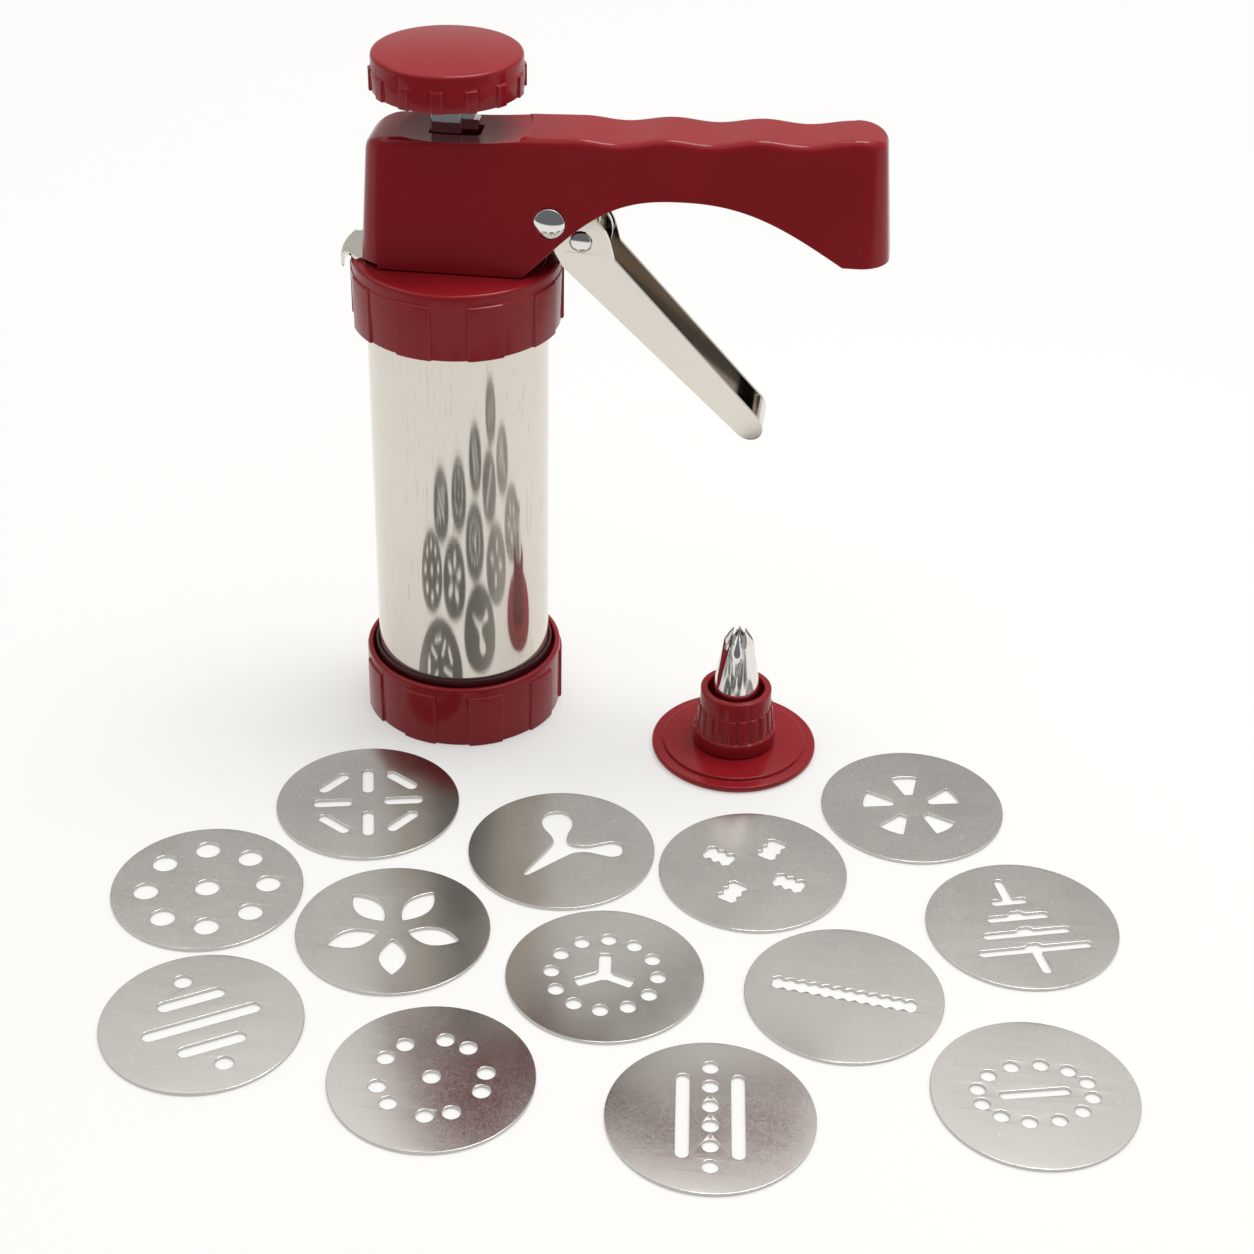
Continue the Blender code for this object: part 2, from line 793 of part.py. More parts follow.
def oval_of_holes():
    radius = 0.0021
    half_long = 0.0150
    half_short = 0.0105
    slot_length = 0.0187
    slot_width = 0.0028
    count = 12
    holes = [slot((0, 0), slot_length, slot_width, 1)]
    for i in range(count):
        x, y = polar(1, 360 * (i + 0.5) / count)
        holes.append(circle((half_long * x, half_short * y), radius, 8))
    return [spun(hole, 13) for hole in holes]


PATTERNS = {
    "disc_a": crossed_slots,
    "disc_b": three_limbs,
    "disc_c": spools,
    "disc_d": wedges,
    "disc_e": nine_holes,
    "disc_f": petals,
    "disc_g": star_in_ring,
    "disc_h": wavy_ribbon,
    "disc_i": fir_tree,
    "disc_j": three_slots,
    "disc_k": hole_pairs,
    "disc_l": holes_and_rails,
    "disc_m": oval_of_holes,
}


# Rings with raised panels


def panelled_sections(profile_at, count, first, raised_share, draft_share, middles=True):
    """Sections round Z whose profile is raised or low. profile_at(raised) gives (radius, height)."""
    pitch = 360 / count
    half = pitch * raised_share / 2
    draft = pitch * draft_share / 2
    low_half = pitch / 2 - half
    sections = []
    for i in range(count):
        middle = first + i * pitch
        raised_turns = [-half + draft, half - draft]
        low_turns = [half + draft, pitch - half - draft]
        if middles:
            raised_turns.insert(1, 0)
            low_turns.insert(1, half + low_half)
        for raised, turns in ((True, raised_turns), (False, low_turns)):
            for turn in turns:
                angle = math.radians(middle + turn)
                c, s = math.cos(angle), math.sin(angle)
                sections.append([(r * c, r * s, z) for r, z in profile_at(raised)])
    return sections


def make_foot_ring(shop, material, parent):
    def profile(raised):
        outer = RING_RADIUS + (PANEL_HEIGHT if raised else 0)
        return [
            (RIM_RADIUS, FOOT_HEIGHT),
            (RING_RADIUS - RING_ROUND, FOOT_HEIGHT),
            (RING_RADIUS + BEAD_OUT, FOOT_HEIGHT - RING_ROUND),
            (RING_RADIUS, FOOT_PANEL_TOP + PANEL_SLOPE),
            (outer, FOOT_PANEL_TOP),
            (outer, RING_ROUND),
            (outer - RING_ROUND, 0),
            (FOOT_MOUTH_RADIUS, 0),
            (FOOT_MOUTH_RADIUS, FOOT_LIP),
            (RIM_RADIUS, FOOT_LIP),
        ]

    sections = panelled_sections(
        profile, PANEL_COUNT, FOOT_PANEL_ANGLE, PANEL_WIDTH_SHARE, PANEL_DRAFT_SHARE
    )
    shop.finish(shop.loft("bottom_ring", sections, ring=True), material, parent)


def make_top_ring(shop, material, parent):
    bottom = TOP_RING_BOTTOM
    lip_bottom = TOP_RING_TOP - TOP_LIP

    def profile(raised):
        outer = RING_RADIUS + (PANEL_HEIGHT if raised else 0)
        return [
            (BOSS_RADIUS + GAP, TOP_RING_TOP),
            (RING_RADIUS - RING_ROUND, TOP_RING_TOP),
            (RING_RADIUS + BEAD_OUT, TOP_RING_TOP - RING_ROUND),
            (RING_RADIUS, bottom + TOP_PANEL_TOP + PANEL_SLOPE),
            (outer, bottom + TOP_PANEL_TOP),
            (outer, bottom + RING_ROUND),
            (outer - RING_ROUND, bottom),
            (RIM_RADIUS, bottom),
            (RIM_RADIUS, lip_bottom),
            (BOSS_RADIUS + GAP, lip_bottom),
        ]

    sections = panelled_sections(
        profile, PANEL_COUNT, TOP_PANEL_ANGLE, PANEL_WIDTH_SHARE, PANEL_DRAFT_SHARE
    )
    shop.finish(shop.loft("top_ring", sections, ring=True), material, parent)


# Barrel, collars and flange


def collar_profile(bottom, top):
    """A collar with a thicker threaded band in its middle."""
    thread_low = (bottom + top - THREAD_LENGTH) / 2
    thread_high = thread_low + THREAD_LENGTH
    inner = BARREL_RADIUS + GAP
    return [
        (inner, top),
        (COLLAR_RADIUS, top),
        (COLLAR_RADIUS, thread_high),
        (THREAD_RADIUS, thread_high - (THREAD_RADIUS - COLLAR_RADIUS)),
        (THREAD_RADIUS, thread_low + (THREAD_RADIUS - COLLAR_RADIUS)),
        (COLLAR_RADIUS, thread_low),
        (COLLAR_RADIUS, bottom),
        (inner, bottom),
    ]


def make_barrel(shop, steel, collar, parent):
    outline = [
        (BARREL_INNER, BARREL_TOP),
        (BARREL_RADIUS, BARREL_TOP),
        (BARREL_RADIUS, BARREL_BOTTOM),
        (BARREL_INNER, BARREL_BOTTOM),
    ]
    shop.finish(shop.turned("barrel", outline, closed=True), steel, parent)
    lower = collar_profile(BARREL_BOTTOM, BARREL_BOTTOM + LOWER_COLLAR_HEIGHT)
    shop.finish(shop.turned("lower_collar", lower, closed=True), collar, parent)
    upper = collar_profile(BARREL_TOP - UPPER_COLLAR_HEIGHT, BARREL_TOP)
    shop.finish(shop.turned("upper_collar", upper, closed=True), collar, parent)


def rod_opening(shop, name, margin, low, high):
    """A cutter round the toothed rod."""
    half = ROD_WIDTH / 2 + margin
    return shop.box(name, (ROD_LEFT - margin, -half, low), (TOOTH_TIP + margin, half, high))


def make_flange(shop, material, parent):
    spigot_radius = PISTON_RADIUS
    spigot_inner = spigot_radius - SPIGOT_WALL
    profile = [
        (0, BOSS_TOP),
        (BOSS_RADIUS, BOSS_TOP),
        (BOSS_RADIUS, SHOULDER_TOP),
        (SHOULDER_RADIUS, SHOULDER_TOP),
        (SHOULDER_RADIUS, SHOULDER_BOTTOM),
        (spigot_radius, SHOULDER_BOTTOM),
        (spigot_radius, SHOULDER_BOTTOM - SPIGOT_HEIGHT),
        (spigot_inner, SHOULDER_BOTTOM - SPIGOT_HEIGHT),
        (spigot_inner, SHOULDER_BOTTOM),
        (0, SHOULDER_BOTTOM),
    ]
    flange = shop.turned("base_flange", profile)
    low = SHOULDER_BOTTOM - OVERRUN
    high = BOSS_TOP + OVERRUN
    shop.cut(flange, rod_opening(shop, "flange_opening", RUNNING_GAP, low, high))
    for i, (x, y) in enumerate(SCREW_PLACES):
        hole = shop.rod(f"flange_hole_{i}", SCREW_RADIUS + GAP, (x, y, low), (x, y, high), 8)
        shop.cut(flange, hole)
    shop.finish(flange, material, parent)


def make_flange_screws(shop, material, parent):
    head_top = SHOULDER_BOTTOM - GAP
    for i, (x, y) in enumerate(SCREW_PLACES):
        profile = [
            (0, head_top + SCREW_LENGTH),
            (SCREW_RADIUS, head_top + SCREW_LENGTH),
            (SCREW_RADIUS, head_top),
            (SCREW_HEAD_RADIUS, head_top),
            (SCREW_HEAD_RADIUS, head_top - SCREW_HEAD_HEIGHT),
            (0, head_top - SCREW_HEAD_HEIGHT),
        ]
        screw = shop.turned(f"flange_screw_{i + 1}", profile, steps=10)
        screw.location = (x, y, 0)
        shop.finish(screw, material, parent)


# Plunger


def make_piston(shop, red, rubber, steel, parent):
    radius = PISTON_RADIUS
    groove_low = PISTON_BOTTOM + PISTON_LAND
    groove_high = PISTON_TOP - PISTON_LAND
    profile = [
        (0, PISTON_TOP),
        (radius, PISTON_TOP),
        (radius, groove_high),
        (PISTON_CORE_RADIUS, groove_high),
        (PISTON_CORE_RADIUS, groove_low),
        (radius, groove_low),
        (radius, PISTON_BOTTOM),
        (0, PISTON_BOTTOM),
    ]
    piston = shop.turned("piston", profile)
    centre_x = ROD_CENTRE
    hole_low = (centre_x, 0, PISTON_BOTTOM - OVERRUN)
    hole_high = (centre_x, 0, PISTON_TOP + OVERRUN)
    hole = shop.rod("piston_hole", PISTON_SCREW_RADIUS + GAP, hole_low, hole_high)
    pocket_top = PISTON_BOTTOM + PISTON_HEAD_HEIGHT + GAP
    pocket = shop.rod(
        "piston_pocket", PISTON_HEAD_RADIUS + GAP, hole_low, (centre_x, 0, pocket_top), 16
    )
    shop.cut(piston, hole, pocket)
    shop.finish(piston, red, parent)

    seal = [
        (PISTON_CORE_RADIUS + GAP, groove_high - GAP),
        (radius, groove_high - GAP),
        (radius, groove_low + GAP),
        (PISTON_CORE_RADIUS + GAP, groove_low + GAP),
    ]
    shop.finish(shop.turned("piston_seal", seal, closed=True), rubber, parent)

    head_top = PISTON_BOTTOM + PISTON_HEAD_HEIGHT
    screw_profile = [
        (0, head_top + PISTON_SCREW_LENGTH),
        (PISTON_SCREW_RADIUS, head_top + PISTON_SCREW_LENGTH),
        (PISTON_SCREW_RADIUS, head_top),
        (PISTON_HEAD_RADIUS, head_top),
        (PISTON_HEAD_RADIUS, PISTON_BOTTOM),
        (0, PISTON_BOTTOM),
    ]
    screw = shop.turned("piston_screw", screw_profile, steps=12)
    screw.location = (centre_x, 0, 0)
    shop.finish(screw, steel, parent)

    washer_profile = [
        (PISTON_SCREW_RADIUS + GAP, WASHER_BOTTOM + WASHER_THICKNESS),
        (WASHER_RADIUS, WASHER_BOTTOM + WASHER_THICKNESS),
        (WASHER_RADIUS, WASHER_BOTTOM),
        (PISTON_SCREW_RADIUS + GAP, WASHER_BOTTOM),
    ]
    washer = shop.turned("piston_washer", washer_profile, steps=16, closed=True)
    washer.location = (centre_x, 0, 0)
    shop.finish(washer, steel, parent)


def make_rod(shop, material, parent):
    half = ROD_WIDTH / 2
    rod = shop.box("piston_rod", (ROD_LEFT, -half, ROD_BOTTOM), (ROD_RIGHT, half, ROD_TOP))
    first = STRIP_TOP - TOOTH_COUNT * TOOTH_PITCH
    outline = [(ROD_CENTRE, STRIP_TOP), (ROD_CENTRE, first)]
    for i in range(TOOTH_COUNT):
        foot = first + i * TOOTH_PITCH
        outline.append((STRIP_RIGHT, foot))
        outline.append((TOOTH_TIP, foot + TOOTH_PITCH - TOOTH_HEIGHT))
        outline.append((TOOTH_TIP, foot + TOOTH_PITCH))
    strip = shop.side_plate("tooth_strip", [outline], -STRIP_WIDTH / 2, STRIP_WIDTH / 2)
    shop.join(rod, strip)
    screw_top = PISTON_BOTTOM + PISTON_HEAD_HEIGHT + PISTON_SCREW_LENGTH + GAP
    bore = shop.rod(
        "rod_bore",
        PISTON_SCREW_RADIUS + GAP,
        (ROD_CENTRE, 0, ROD_BOTTOM - OVERRUN),
        (ROD_CENTRE, 0, screw_top),
    )
    shop.cut(rod, bore)
    shop.finish(rod, material, parent)


def make_knob(shop, material, parent):
    edge_z = KNOB_BOTTOM + KNOB_EDGE_HEIGHT
    rib_top = KNOB_BOTTOM + KNOB_RIB_HEIGHT
    rim_inner = KNOB_RADIUS - KNOB_WALL
    ceiling = edge_z - KNOB_WALL
    dome_radius = KNOB_RADIUS - KNOB_ROUND
    dome_steps = 3

    def profile(raised):
        outer = KNOB_RADIUS + (KNOB_RIB_OUT if raised else 0)
        points = []
        for i in range(dome_steps + 1):
            share = i / dome_steps
            points.append((dome_radius * share, edge_z + KNOB_DOME * (1 - share**2)))
        points += [
            (KNOB_RADIUS, edge_z - KNOB_ROUND),
            (KNOB_RADIUS, rib_top),
            (outer, rib_top - KNOB_RIB_OUT),
            (outer, KNOB_BOTTOM),
            (rim_inner, KNOB_BOTTOM),
            (rim_inner, ceiling),
            (KNOB_HUB_RADIUS, ceiling),
            (KNOB_HUB_RADIUS, KNOB_BOTTOM),
            (0, KNOB_BOTTOM),
        ]
        return points

    rib_share = KNOB_RIB_WIDTH * KNOB_RIB_COUNT / (2 * math.pi * KNOB_RADIUS)
    sections = panelled_sections(
        profile, KNOB_RIB_COUNT, KNOB_RIB_ANGLE, rib_share, KNOB_DRAFT_SHARE, middles=False
    )
    knob = shop.loft("knob", sections, ring=True)
    knob.data.transform(Matrix.Translation((ROD_CENTRE, 0, 0)))
    half_x = ROD_DEPTH / 2 + GAP
    half_y = ROD_WIDTH / 2 + GAP
    pocket = shop.box(
        "knob_pocket",
        (ROD_CENTRE - half_x, -half_y, KNOB_BOTTOM - OVERRUN),
        (ROD_CENTRE + half_x, half_y, KNOB_BOTTOM + KNOB_POCKET),
    )
    shop.cut(knob, pocket)
    shop.finish(knob, material, parent)


# Handle


def handle_top(x):
    """Height of the handle's top above its underside, without the finger waves."""
    return HANDLE_HEIGHT + TOP_RISE_SHARE * (x - WIDTH_REFERENCE_X)


def wave_at(x):
    """How far the finger waves lower the top at x."""
    end = WAVE_START_X + WAVE_COUNT * WAVE_LENGTH
    if not WAVE_START_X < x < end:
        return 0
    turn = 2 * math.pi * (x - WAVE_START_X) / WAVE_LENGTH
    return WAVE_DEPTH * (1 - math.cos(turn)) / 2


def handle_half_width(x, rise):
    """Half the handle's width at a height above its underside."""
    at_top = TOP_HALF_WIDTH - WIDTH_TAPER_SHARE * (x - WIDTH_REFERENCE_X)
    return at_top + SIDE_TAPER_SHARE * (handle_top(x) - rise)


def handle_section(x, low, top, inset, lean, rounding):
    """The points of one section: up the near side, over the top and down the far side."""
    points = []
    corner = rounding * (1 - math.sqrt(1 / 2))
    side = handle_half_width(x, low) - inset
    shoulder = handle_half_width(x, top - rounding) - inset
    half_top = handle_half_width(x, top) - inset
    near = [
        (-side, low),
        (-shoulder, top - rounding),
        (-half_top + corner, top - corner),
        (-half_top + rounding, top),
    ]
    for y, rise in near + [(-y, rise) for y, rise in reversed(near)]:
        points.append((x + lean * rise, y, HANDLE_BOTTOM + rise))
    return points


def corner_stations(count):
    """(run, inset) pairs, as shares of a corner's radius, from the end face to the side."""
    pairs = []
    for i in range(count + 1):
        angle = math.pi / 2 * i / count
        pairs.append((1 - math.cos(angle), 1 - math.sin(angle)))
    return pairs


def arch_line():
    """The handle's lower edge from the housing to the foot, as (x, rise) points."""
    start = (ARCH_START_X, 0)
    bend = (ARCH_START_X + ARCH_BEND, ARCH_BEND)
    crest = (ARCH_CREST_X, ARCH_CREST_RISE)
    foot = (FOOT_X, FOOT_RISE)
    left_pull = ARCH_PULL_SHARE * (crest[0] - bend[0])
    right_pull = ARCH_PULL_SHARE * (foot[0] - crest[0])
    rising = (bend[0] + left_pull, bend[1] + left_pull)
    before_crest = (crest[0] - left_pull, crest[1])
    after_crest = (crest[0] + right_pull, crest[1])
    falling = (foot[0] - right_pull, foot[1] + ARCH_FALL_SHARE * right_pull)
    line = [start, bend]
    line += bezier(bend, rising, before_crest, crest, ARCH_STEPS)
    line += bezier(crest, after_crest, falling, foot, ARCH_STEPS + 1)
    return line


def handle_body(shop):
    sections = []
    for run, inset in corner_stations(3):
        x = NOSE_X + NOSE_ROUND * run
        top = handle_top(x) - NOSE_TOP_ROUND * inset
        sections.append(
            handle_section(x, 0, top, NOSE_ROUND * inset, NOSE_LEAN_SHARE, TOP_ROUND)
        )
    for x, rise in arch_line():
        top = handle_top(x) - wave_at(x)
        sections.append(handle_section(x, rise, top, 0, 0, TOP_ROUND))
    for run, inset in reversed(corner_stations(3)):
        x = HANDLE_END_X - END_LEAN_SHARE * FOOT_RISE - END_ROUND * run
        top = handle_top(x) - END_TOP_ROUND * inset
        sections.append(
            handle_section(x, FOOT_RISE, top, END_ROUND * inset, END_LEAN_SHARE, TOP_ROUND)
        )
    return shop.loft("handle_shell", sections)


def handle_cavity(shop):
    sections = []
    round_inside = NOSE_ROUND - HANDLE_WALL
    for run, inset in corner_stations(2):
        x = NOSE_X + HANDLE_WALL + round_inside * run
        roof = handle_top(x) - HANDLE_ROOF
        sections.append(
            handle_section(
                x, -OVERRUN, roof, HANDLE_WALL + round_inside * inset, NOSE_LEAN_SHARE, TOP_ROUND
            )
        )
    for x in (ARCH_START_X, FOOT_X - HANDLE_WALL):
        roof = handle_top(x) - HANDLE_ROOF
        sections.append(handle_section(x, -OVERRUN, roof, HANDLE_WALL, 0, TOP_ROUND))
    return shop.loft("handle_cavity", sections)


def dish_cutter(shop):
    """The shallow round hollow under the knob."""
    rim = HANDLE_BOTTOM + handle_top(ROD_CENTRE)
    bowl_radius = (DISH_RADIUS**2 + DISH_DEPTH**2) / (2 * DISH_DEPTH)
    reach = DISH_RADIUS + OVERRUN
    steps = 5
    profile = [(0, rim + OVERRUN), (reach, rim + OVERRUN)]
    for i in range(steps + 1):
        radius = reach * (1 - i / steps)
        rise = bowl_radius - math.sqrt(bowl_radius**2 - radius**2)
        profile.append((radius, rim - DISH_DEPTH + rise))
    cutter = shop.turned("dish", profile, steps=STEPS)
    cutter.location = (ROD_CENTRE, 0, 0)
    return cutter


def pin_face_y():
    """Half the distance between the two faces that the pivot pin's heads lie on."""
    return handle_half_width(PIVOT_X, PIVOT_RISE) - PIN_SEAT_DEPTH


def make_handle(shop, material, parent):
    handle = handle_body(shop)
    shop.cut(handle, handle_cavity(shop))
    for i, (x, y) in enumerate(SCREW_PLACES):
        low = (x, y, HANDLE_BOTTOM + GAP)
        radius = SCREW_RADIUS + GAP
        boss_top = HANDLE_BOTTOM + SCREW_LENGTH
        boss = shop.rod(f"boss_{i}", radius + SCREW_BOSS_WALL, low, (x, y, boss_top), 12)
        shop.join(handle, boss)
        screw_end = SHOULDER_BOTTOM + SCREW_LENGTH
        bore = shop.rod(
            f"boss_bore_{i}", radius, (x, y, HANDLE_BOTTOM - OVERRUN), (x, y, screw_end), 8
        )
        shop.cut(handle, bore)
    inner = TRIGGER_WIDTH / 2 + GAP
    face = pin_face_y()
    inside = face - HANDLE_WALL / 2
    for side in (-1, 1):
        centre = (PIVOT_X, side * inner, PIVOT_Z)
        wall = (PIVOT_X, side * inside, PIVOT_Z)
        shop.join(handle, shop.rod(f"pin_boss_{side}", PIN_BOSS_RADIUS, centre, wall, 16))
        seat_low = (PIVOT_X, side * face, PIVOT_Z)
        seat_high = (PIVOT_X, side * (face + OVERRUN), PIVOT_Z)
        seat = shop.rod(f"pin_seat_{side}", PIN_HEAD_RADIUS + GAP, seat_low, seat_high, 20)
        shop.cut(handle, seat)
    reach = face + OVERRUN
    pin_hole = shop.rod(
        "pin_hole", PIN_RADIUS + GAP, (PIVOT_X, -reach, PIVOT_Z), (PIVOT_X, reach, PIVOT_Z)
    )
    post_half = handle_half_width(SPRING_POST_X, 0) - HANDLE_WALL / 2
    post = shop.box(
        "spring_post",
        (SPRING_POST_X, -post_half, HANDLE_BOTTOM + GAP + RUNNING_GAP),
        (SPRING_POST_X + SPRING_POST_THICKNESS, post_half, HANDLE_BOTTOM + SPRING_POST_HEIGHT),
    )
    shop.join(handle, post)
    wide = handle_half_width(NOSE_X, 0) + OVERRUN
    slot_low = (NOSE_X - OVERRUN, -wide, HANDLE_BOTTOM - OVERRUN)
    slot_high = (NOSE_SLOT_X, wide, HANDLE_BOTTOM + NOSE_SLOT_HEIGHT)
    roof = HANDLE_BOTTOM + handle_top(ROD_CENTRE)
    opening = rod_opening(
        shop, "roof_opening", ROD_OPENING_MARGIN, roof - HANDLE_HEIGHT / 2, roof + OVERRUN
    )
    shop.cut(handle, pin_hole, shop.box("nose_slot", slot_low, slot_high))
    shop.cut(handle, dish_cutter(shop), opening)
    shop.finish(handle, material, parent)


# Trigger and drive


def at_pivot(point):
    """A place of the side view, given from the pivot."""
    return PIVOT_X + point[0], PIVOT_Z + point[1]


def trigger_outline(shrink):
    """The trigger's side view, and the round end of its tip moved inwards by the shrink.

    Also gives the directions along the trigger's fold and across it.
    """
    along = Vector(TIP_CENTRE) - Vector(HEEL_POINT)
    along -= Vector((-along.y, along.x)).normalized() * TIP_HALF_WIDTH
    along.normalize()
    across = Vector((-along.y, along.x))
    centre = Vector(TIP_CENTRE)
    outline = [polar(TRIGGER_BOSS_RADIUS, angle) for angle in (235, 200, 165, 130, 95, 60)]
    outline += [SHOULDER_POINT, KINK_POINT]
    steps = 6
    inner_end = []
    for i in range(steps + 1):
        turn = math.pi * i / steps
        c, s = math.cos(turn), math.sin(turn)
        outline.append(centre + across * TIP_HALF_WIDTH * c + along * TIP_REACH * s)
        inner_side = across * (TIP_HALF_WIDTH - shrink) * c
        inner_end.append(centre + inner_side + along * (TIP_REACH - shrink) * s)
    outline += [HEEL_POINT, HEEL_TOP_POINT]
    placed = [at_pivot(point) for point in outline]
    return placed, [at_pivot(point) for point in inner_end], along, across


def make_trigger(shop, material, parent):
    half = TRIGGER_WIDTH / 2
    outline, round_end, along, across = trigger_outline(TRIGGER_SHEET)
    trigger = shop.side_plate("trigger", [outline], -half, half)
    fold = Vector(at_pivot(FOLD_START_POINT)) + across * TRIGGER_SHEET
    top_x, top_z = at_pivot((TIP_CENTRE[0], TRIGGER_BOSS_RADIUS + OVERRUN))
    left_x = PIVOT_X - TRIGGER_BOSS_RADIUS - OVERRUN
    fold_outside = fold - across * (TRIGGER_SHEET + OVERRUN)
    first_end = Vector(round_end[0]) + across * (TRIGGER_WIDTH + OVERRUN)
    hollow = round_end + [tuple(fold), tuple(fold_outside), (left_x, fold_outside.y)]
    hollow += [(left_x, top_z), (top_x, top_z), tuple(first_end)]
    inner_half = half - TRIGGER_SHEET
    shop.cut(trigger, shop.side_plate("trigger_hollow", [hollow], -inner_half, inner_half))
    reach = half + OVERRUN
    for name, point, radius in (
        ("pivot_hole", (0, 0), PIN_RADIUS + GAP),
        ("rivet_hole", RIVET_POINT, RIVET_RADIUS + RUNNING_GAP),
    ):
        x, z = at_pivot(point)
        shop.cut(trigger, shop.rod(name, radius, (x, -reach, z), (x, reach, z), 14))
    shop.finish(trigger, material, parent)


def upright_pin(shop, name, profile, x, z, steps=14):
    """A turned pin laid along Y. Its profile's heights become places along -Y."""
    pin = shop.turned(name, profile, steps=steps)
    pin.data.transform(Matrix.Rotation(math.radians(90), 4, "X"))
    pin.location = (x, 0, z)
    return pin


def make_trigger_pin(shop, material, parent):
    seat = pin_face_y() + GAP
    top = seat + PIN_HEAD_HEIGHT
    rim = seat + PIN_HEAD_HEIGHT / 2
    profile = [
        (0, top),
        (PIN_HEAD_RADIUS * PIN_DOME_SHARE, seat + PIN_HEAD_HEIGHT * PIN_CROWN_SHARE),
        (PIN_HEAD_RADIUS, rim),
        (PIN_HEAD_RADIUS, seat),
        (PIN_RADIUS, seat),
    ]
    profile += [(radius, -height) for radius, height in reversed(profile)]
    shop.finish(
        upright_pin(shop, "trigger_pin", profile, PIVOT_X, PIVOT_Z), material, parent
    )


def make_rivet(shop, material, parent):
    end = TRIGGER_WIDTH / 2 + RIVET_OUT
    profile = [(0, end), (RIVET_RADIUS - RIVET_OUT, end), (RIVET_RADIUS, end - RIVET_OUT)]
    profile += [(radius, -height) for radius, height in reversed(profile)]
    x, z = at_pivot(RIVET_POINT)
    shop.finish(upright_pin(shop, "cross_rivet", profile, x, z), material, parent)


def make_link(shop, material, parent):
    far = LINK_NEAR_Y + LINK_THICKNESS
    rivet = (*at_pivot(RIVET_POINT), LINK_END_RADIUS)
    pivot = (PIVOT_X, PIVOT_Z, LINK_PIVOT_RADIUS)
    pawl = (*at_pivot(PAWL_POINT), LINK_PAWL_RADIUS)
    link = shop.hull("drive_link", (rivet, pivot, pawl), LINK_NEAR_Y, far)
    reach = far + OVERRUN
    low = LINK_NEAR_Y - OVERRUN
    for name, (x, z, _), radius in (
        ("link_rivet_hole", rivet, RIVET_RADIUS + GAP),
        ("link_pivot_hole", pivot, PIN_RADIUS + GAP),
        ("link_pawl_hole", pawl, PAWL_PIN_RADIUS + GAP),
    ):
        shop.cut(link, shop.rod(name, radius, (x, low, z), (x, reach, z)))
    shop.finish(link, material, parent)


def make_pawl(shop, pin_steel, pawl_steel, pin_parent, pawl_parent):
    x, z = at_pivot(PAWL_POINT)
    half = PAWL_THICKNESS / 2
    nose_x = x - PAWL_REACH + PAWL_NOSE
    circles = ((x, z, PAWL_RADIUS), (nose_x, z - PAWL_NOSE_DROP, PAWL_NOSE))
    pawl = shop.hull("drive_pawl", circles, -half, half, 12)
    reach = half + OVERRUN
    bore = shop.rod("pawl_bore", PAWL_PIN_RADIUS + GAP, (x, -reach, z), (x, reach, z))
    shop.cut(pawl, bore)
    shop.finish(pawl, pawl_steel, pawl_parent)

    near = half + GAP
    far = -(LINK_NEAR_Y + LINK_THICKNESS + GAP)
    profile = [
        (0, near + PAWL_PIN_HEAD),
        (PAWL_PIN_HEAD_RADIUS, near + PAWL_PIN_HEAD),
        (PAWL_PIN_HEAD_RADIUS, near),
        (PAWL_PIN_RADIUS, near),
        (PAWL_PIN_RADIUS, far),
        (PAWL_PIN_HEAD_RADIUS, far),
        (PAWL_PIN_HEAD_RADIUS, far - PAWL_PIN_HEAD),
        (0, far - PAWL_PIN_HEAD),
    ]
    shop.finish(upright_pin(shop, "pawl_pin", profile, x, z, 12), pin_steel, pin_parent)


def least_gap(points, wire_radius, skip):
    """The least gap between parts of a wire that lie at least skip points apart."""
    least = math.inf
    for i, here in enumerate(points):
        for there in points[i + skip :]:
            least = min(least, (Vector(here) - Vector(there)).length)
    return least - 2 * wire_radius


def make_trigger_spring(shop, material, parent):
    wire = TRIGGER_SPRING_WIRE / 2
    per_turn = 9
    near = -(TRIGGER_WIDTH / 2 - TRIGGER_SHEET) + GAP + wire
    points = []
    fold_x, fold_z = FOLD_START_POINT
    leg_direction = math.degrees(math.atan2(fold_z, fold_x))
    first_angle = leg_direction - 90
    count = TRIGGER_SPRING_TURNS * per_turn
    for i in range(count + 1):
        across, up = polar(
            TRIGGER_SPRING_RADIUS, first_angle - 360 * i / per_turn, (PIVOT_X, PIVOT_Z)
        )
        points.append((across, near + TRIGGER_SPRING_PITCH * i / per_turn, up))
    first_x, first_y, first_z = points[0]
    last_x, last_y, last_z = points[-1]
    leg_x, leg_z = polar(TRIGGER_SPRING_LEG, leg_direction)
    points.insert(0, (first_x + leg_x, first_y, first_z + leg_z))
    points.append((last_x - leg_x, last_y, last_z - leg_z))
    coil = points[1:-1]
    print("trigger spring least gap, mm:", round(1000 * least_gap(coil, wire, per_turn - 2), 2))
    shop.finish(shop.wire("trigger_spring", points, wire), material, parent)


# Release plate


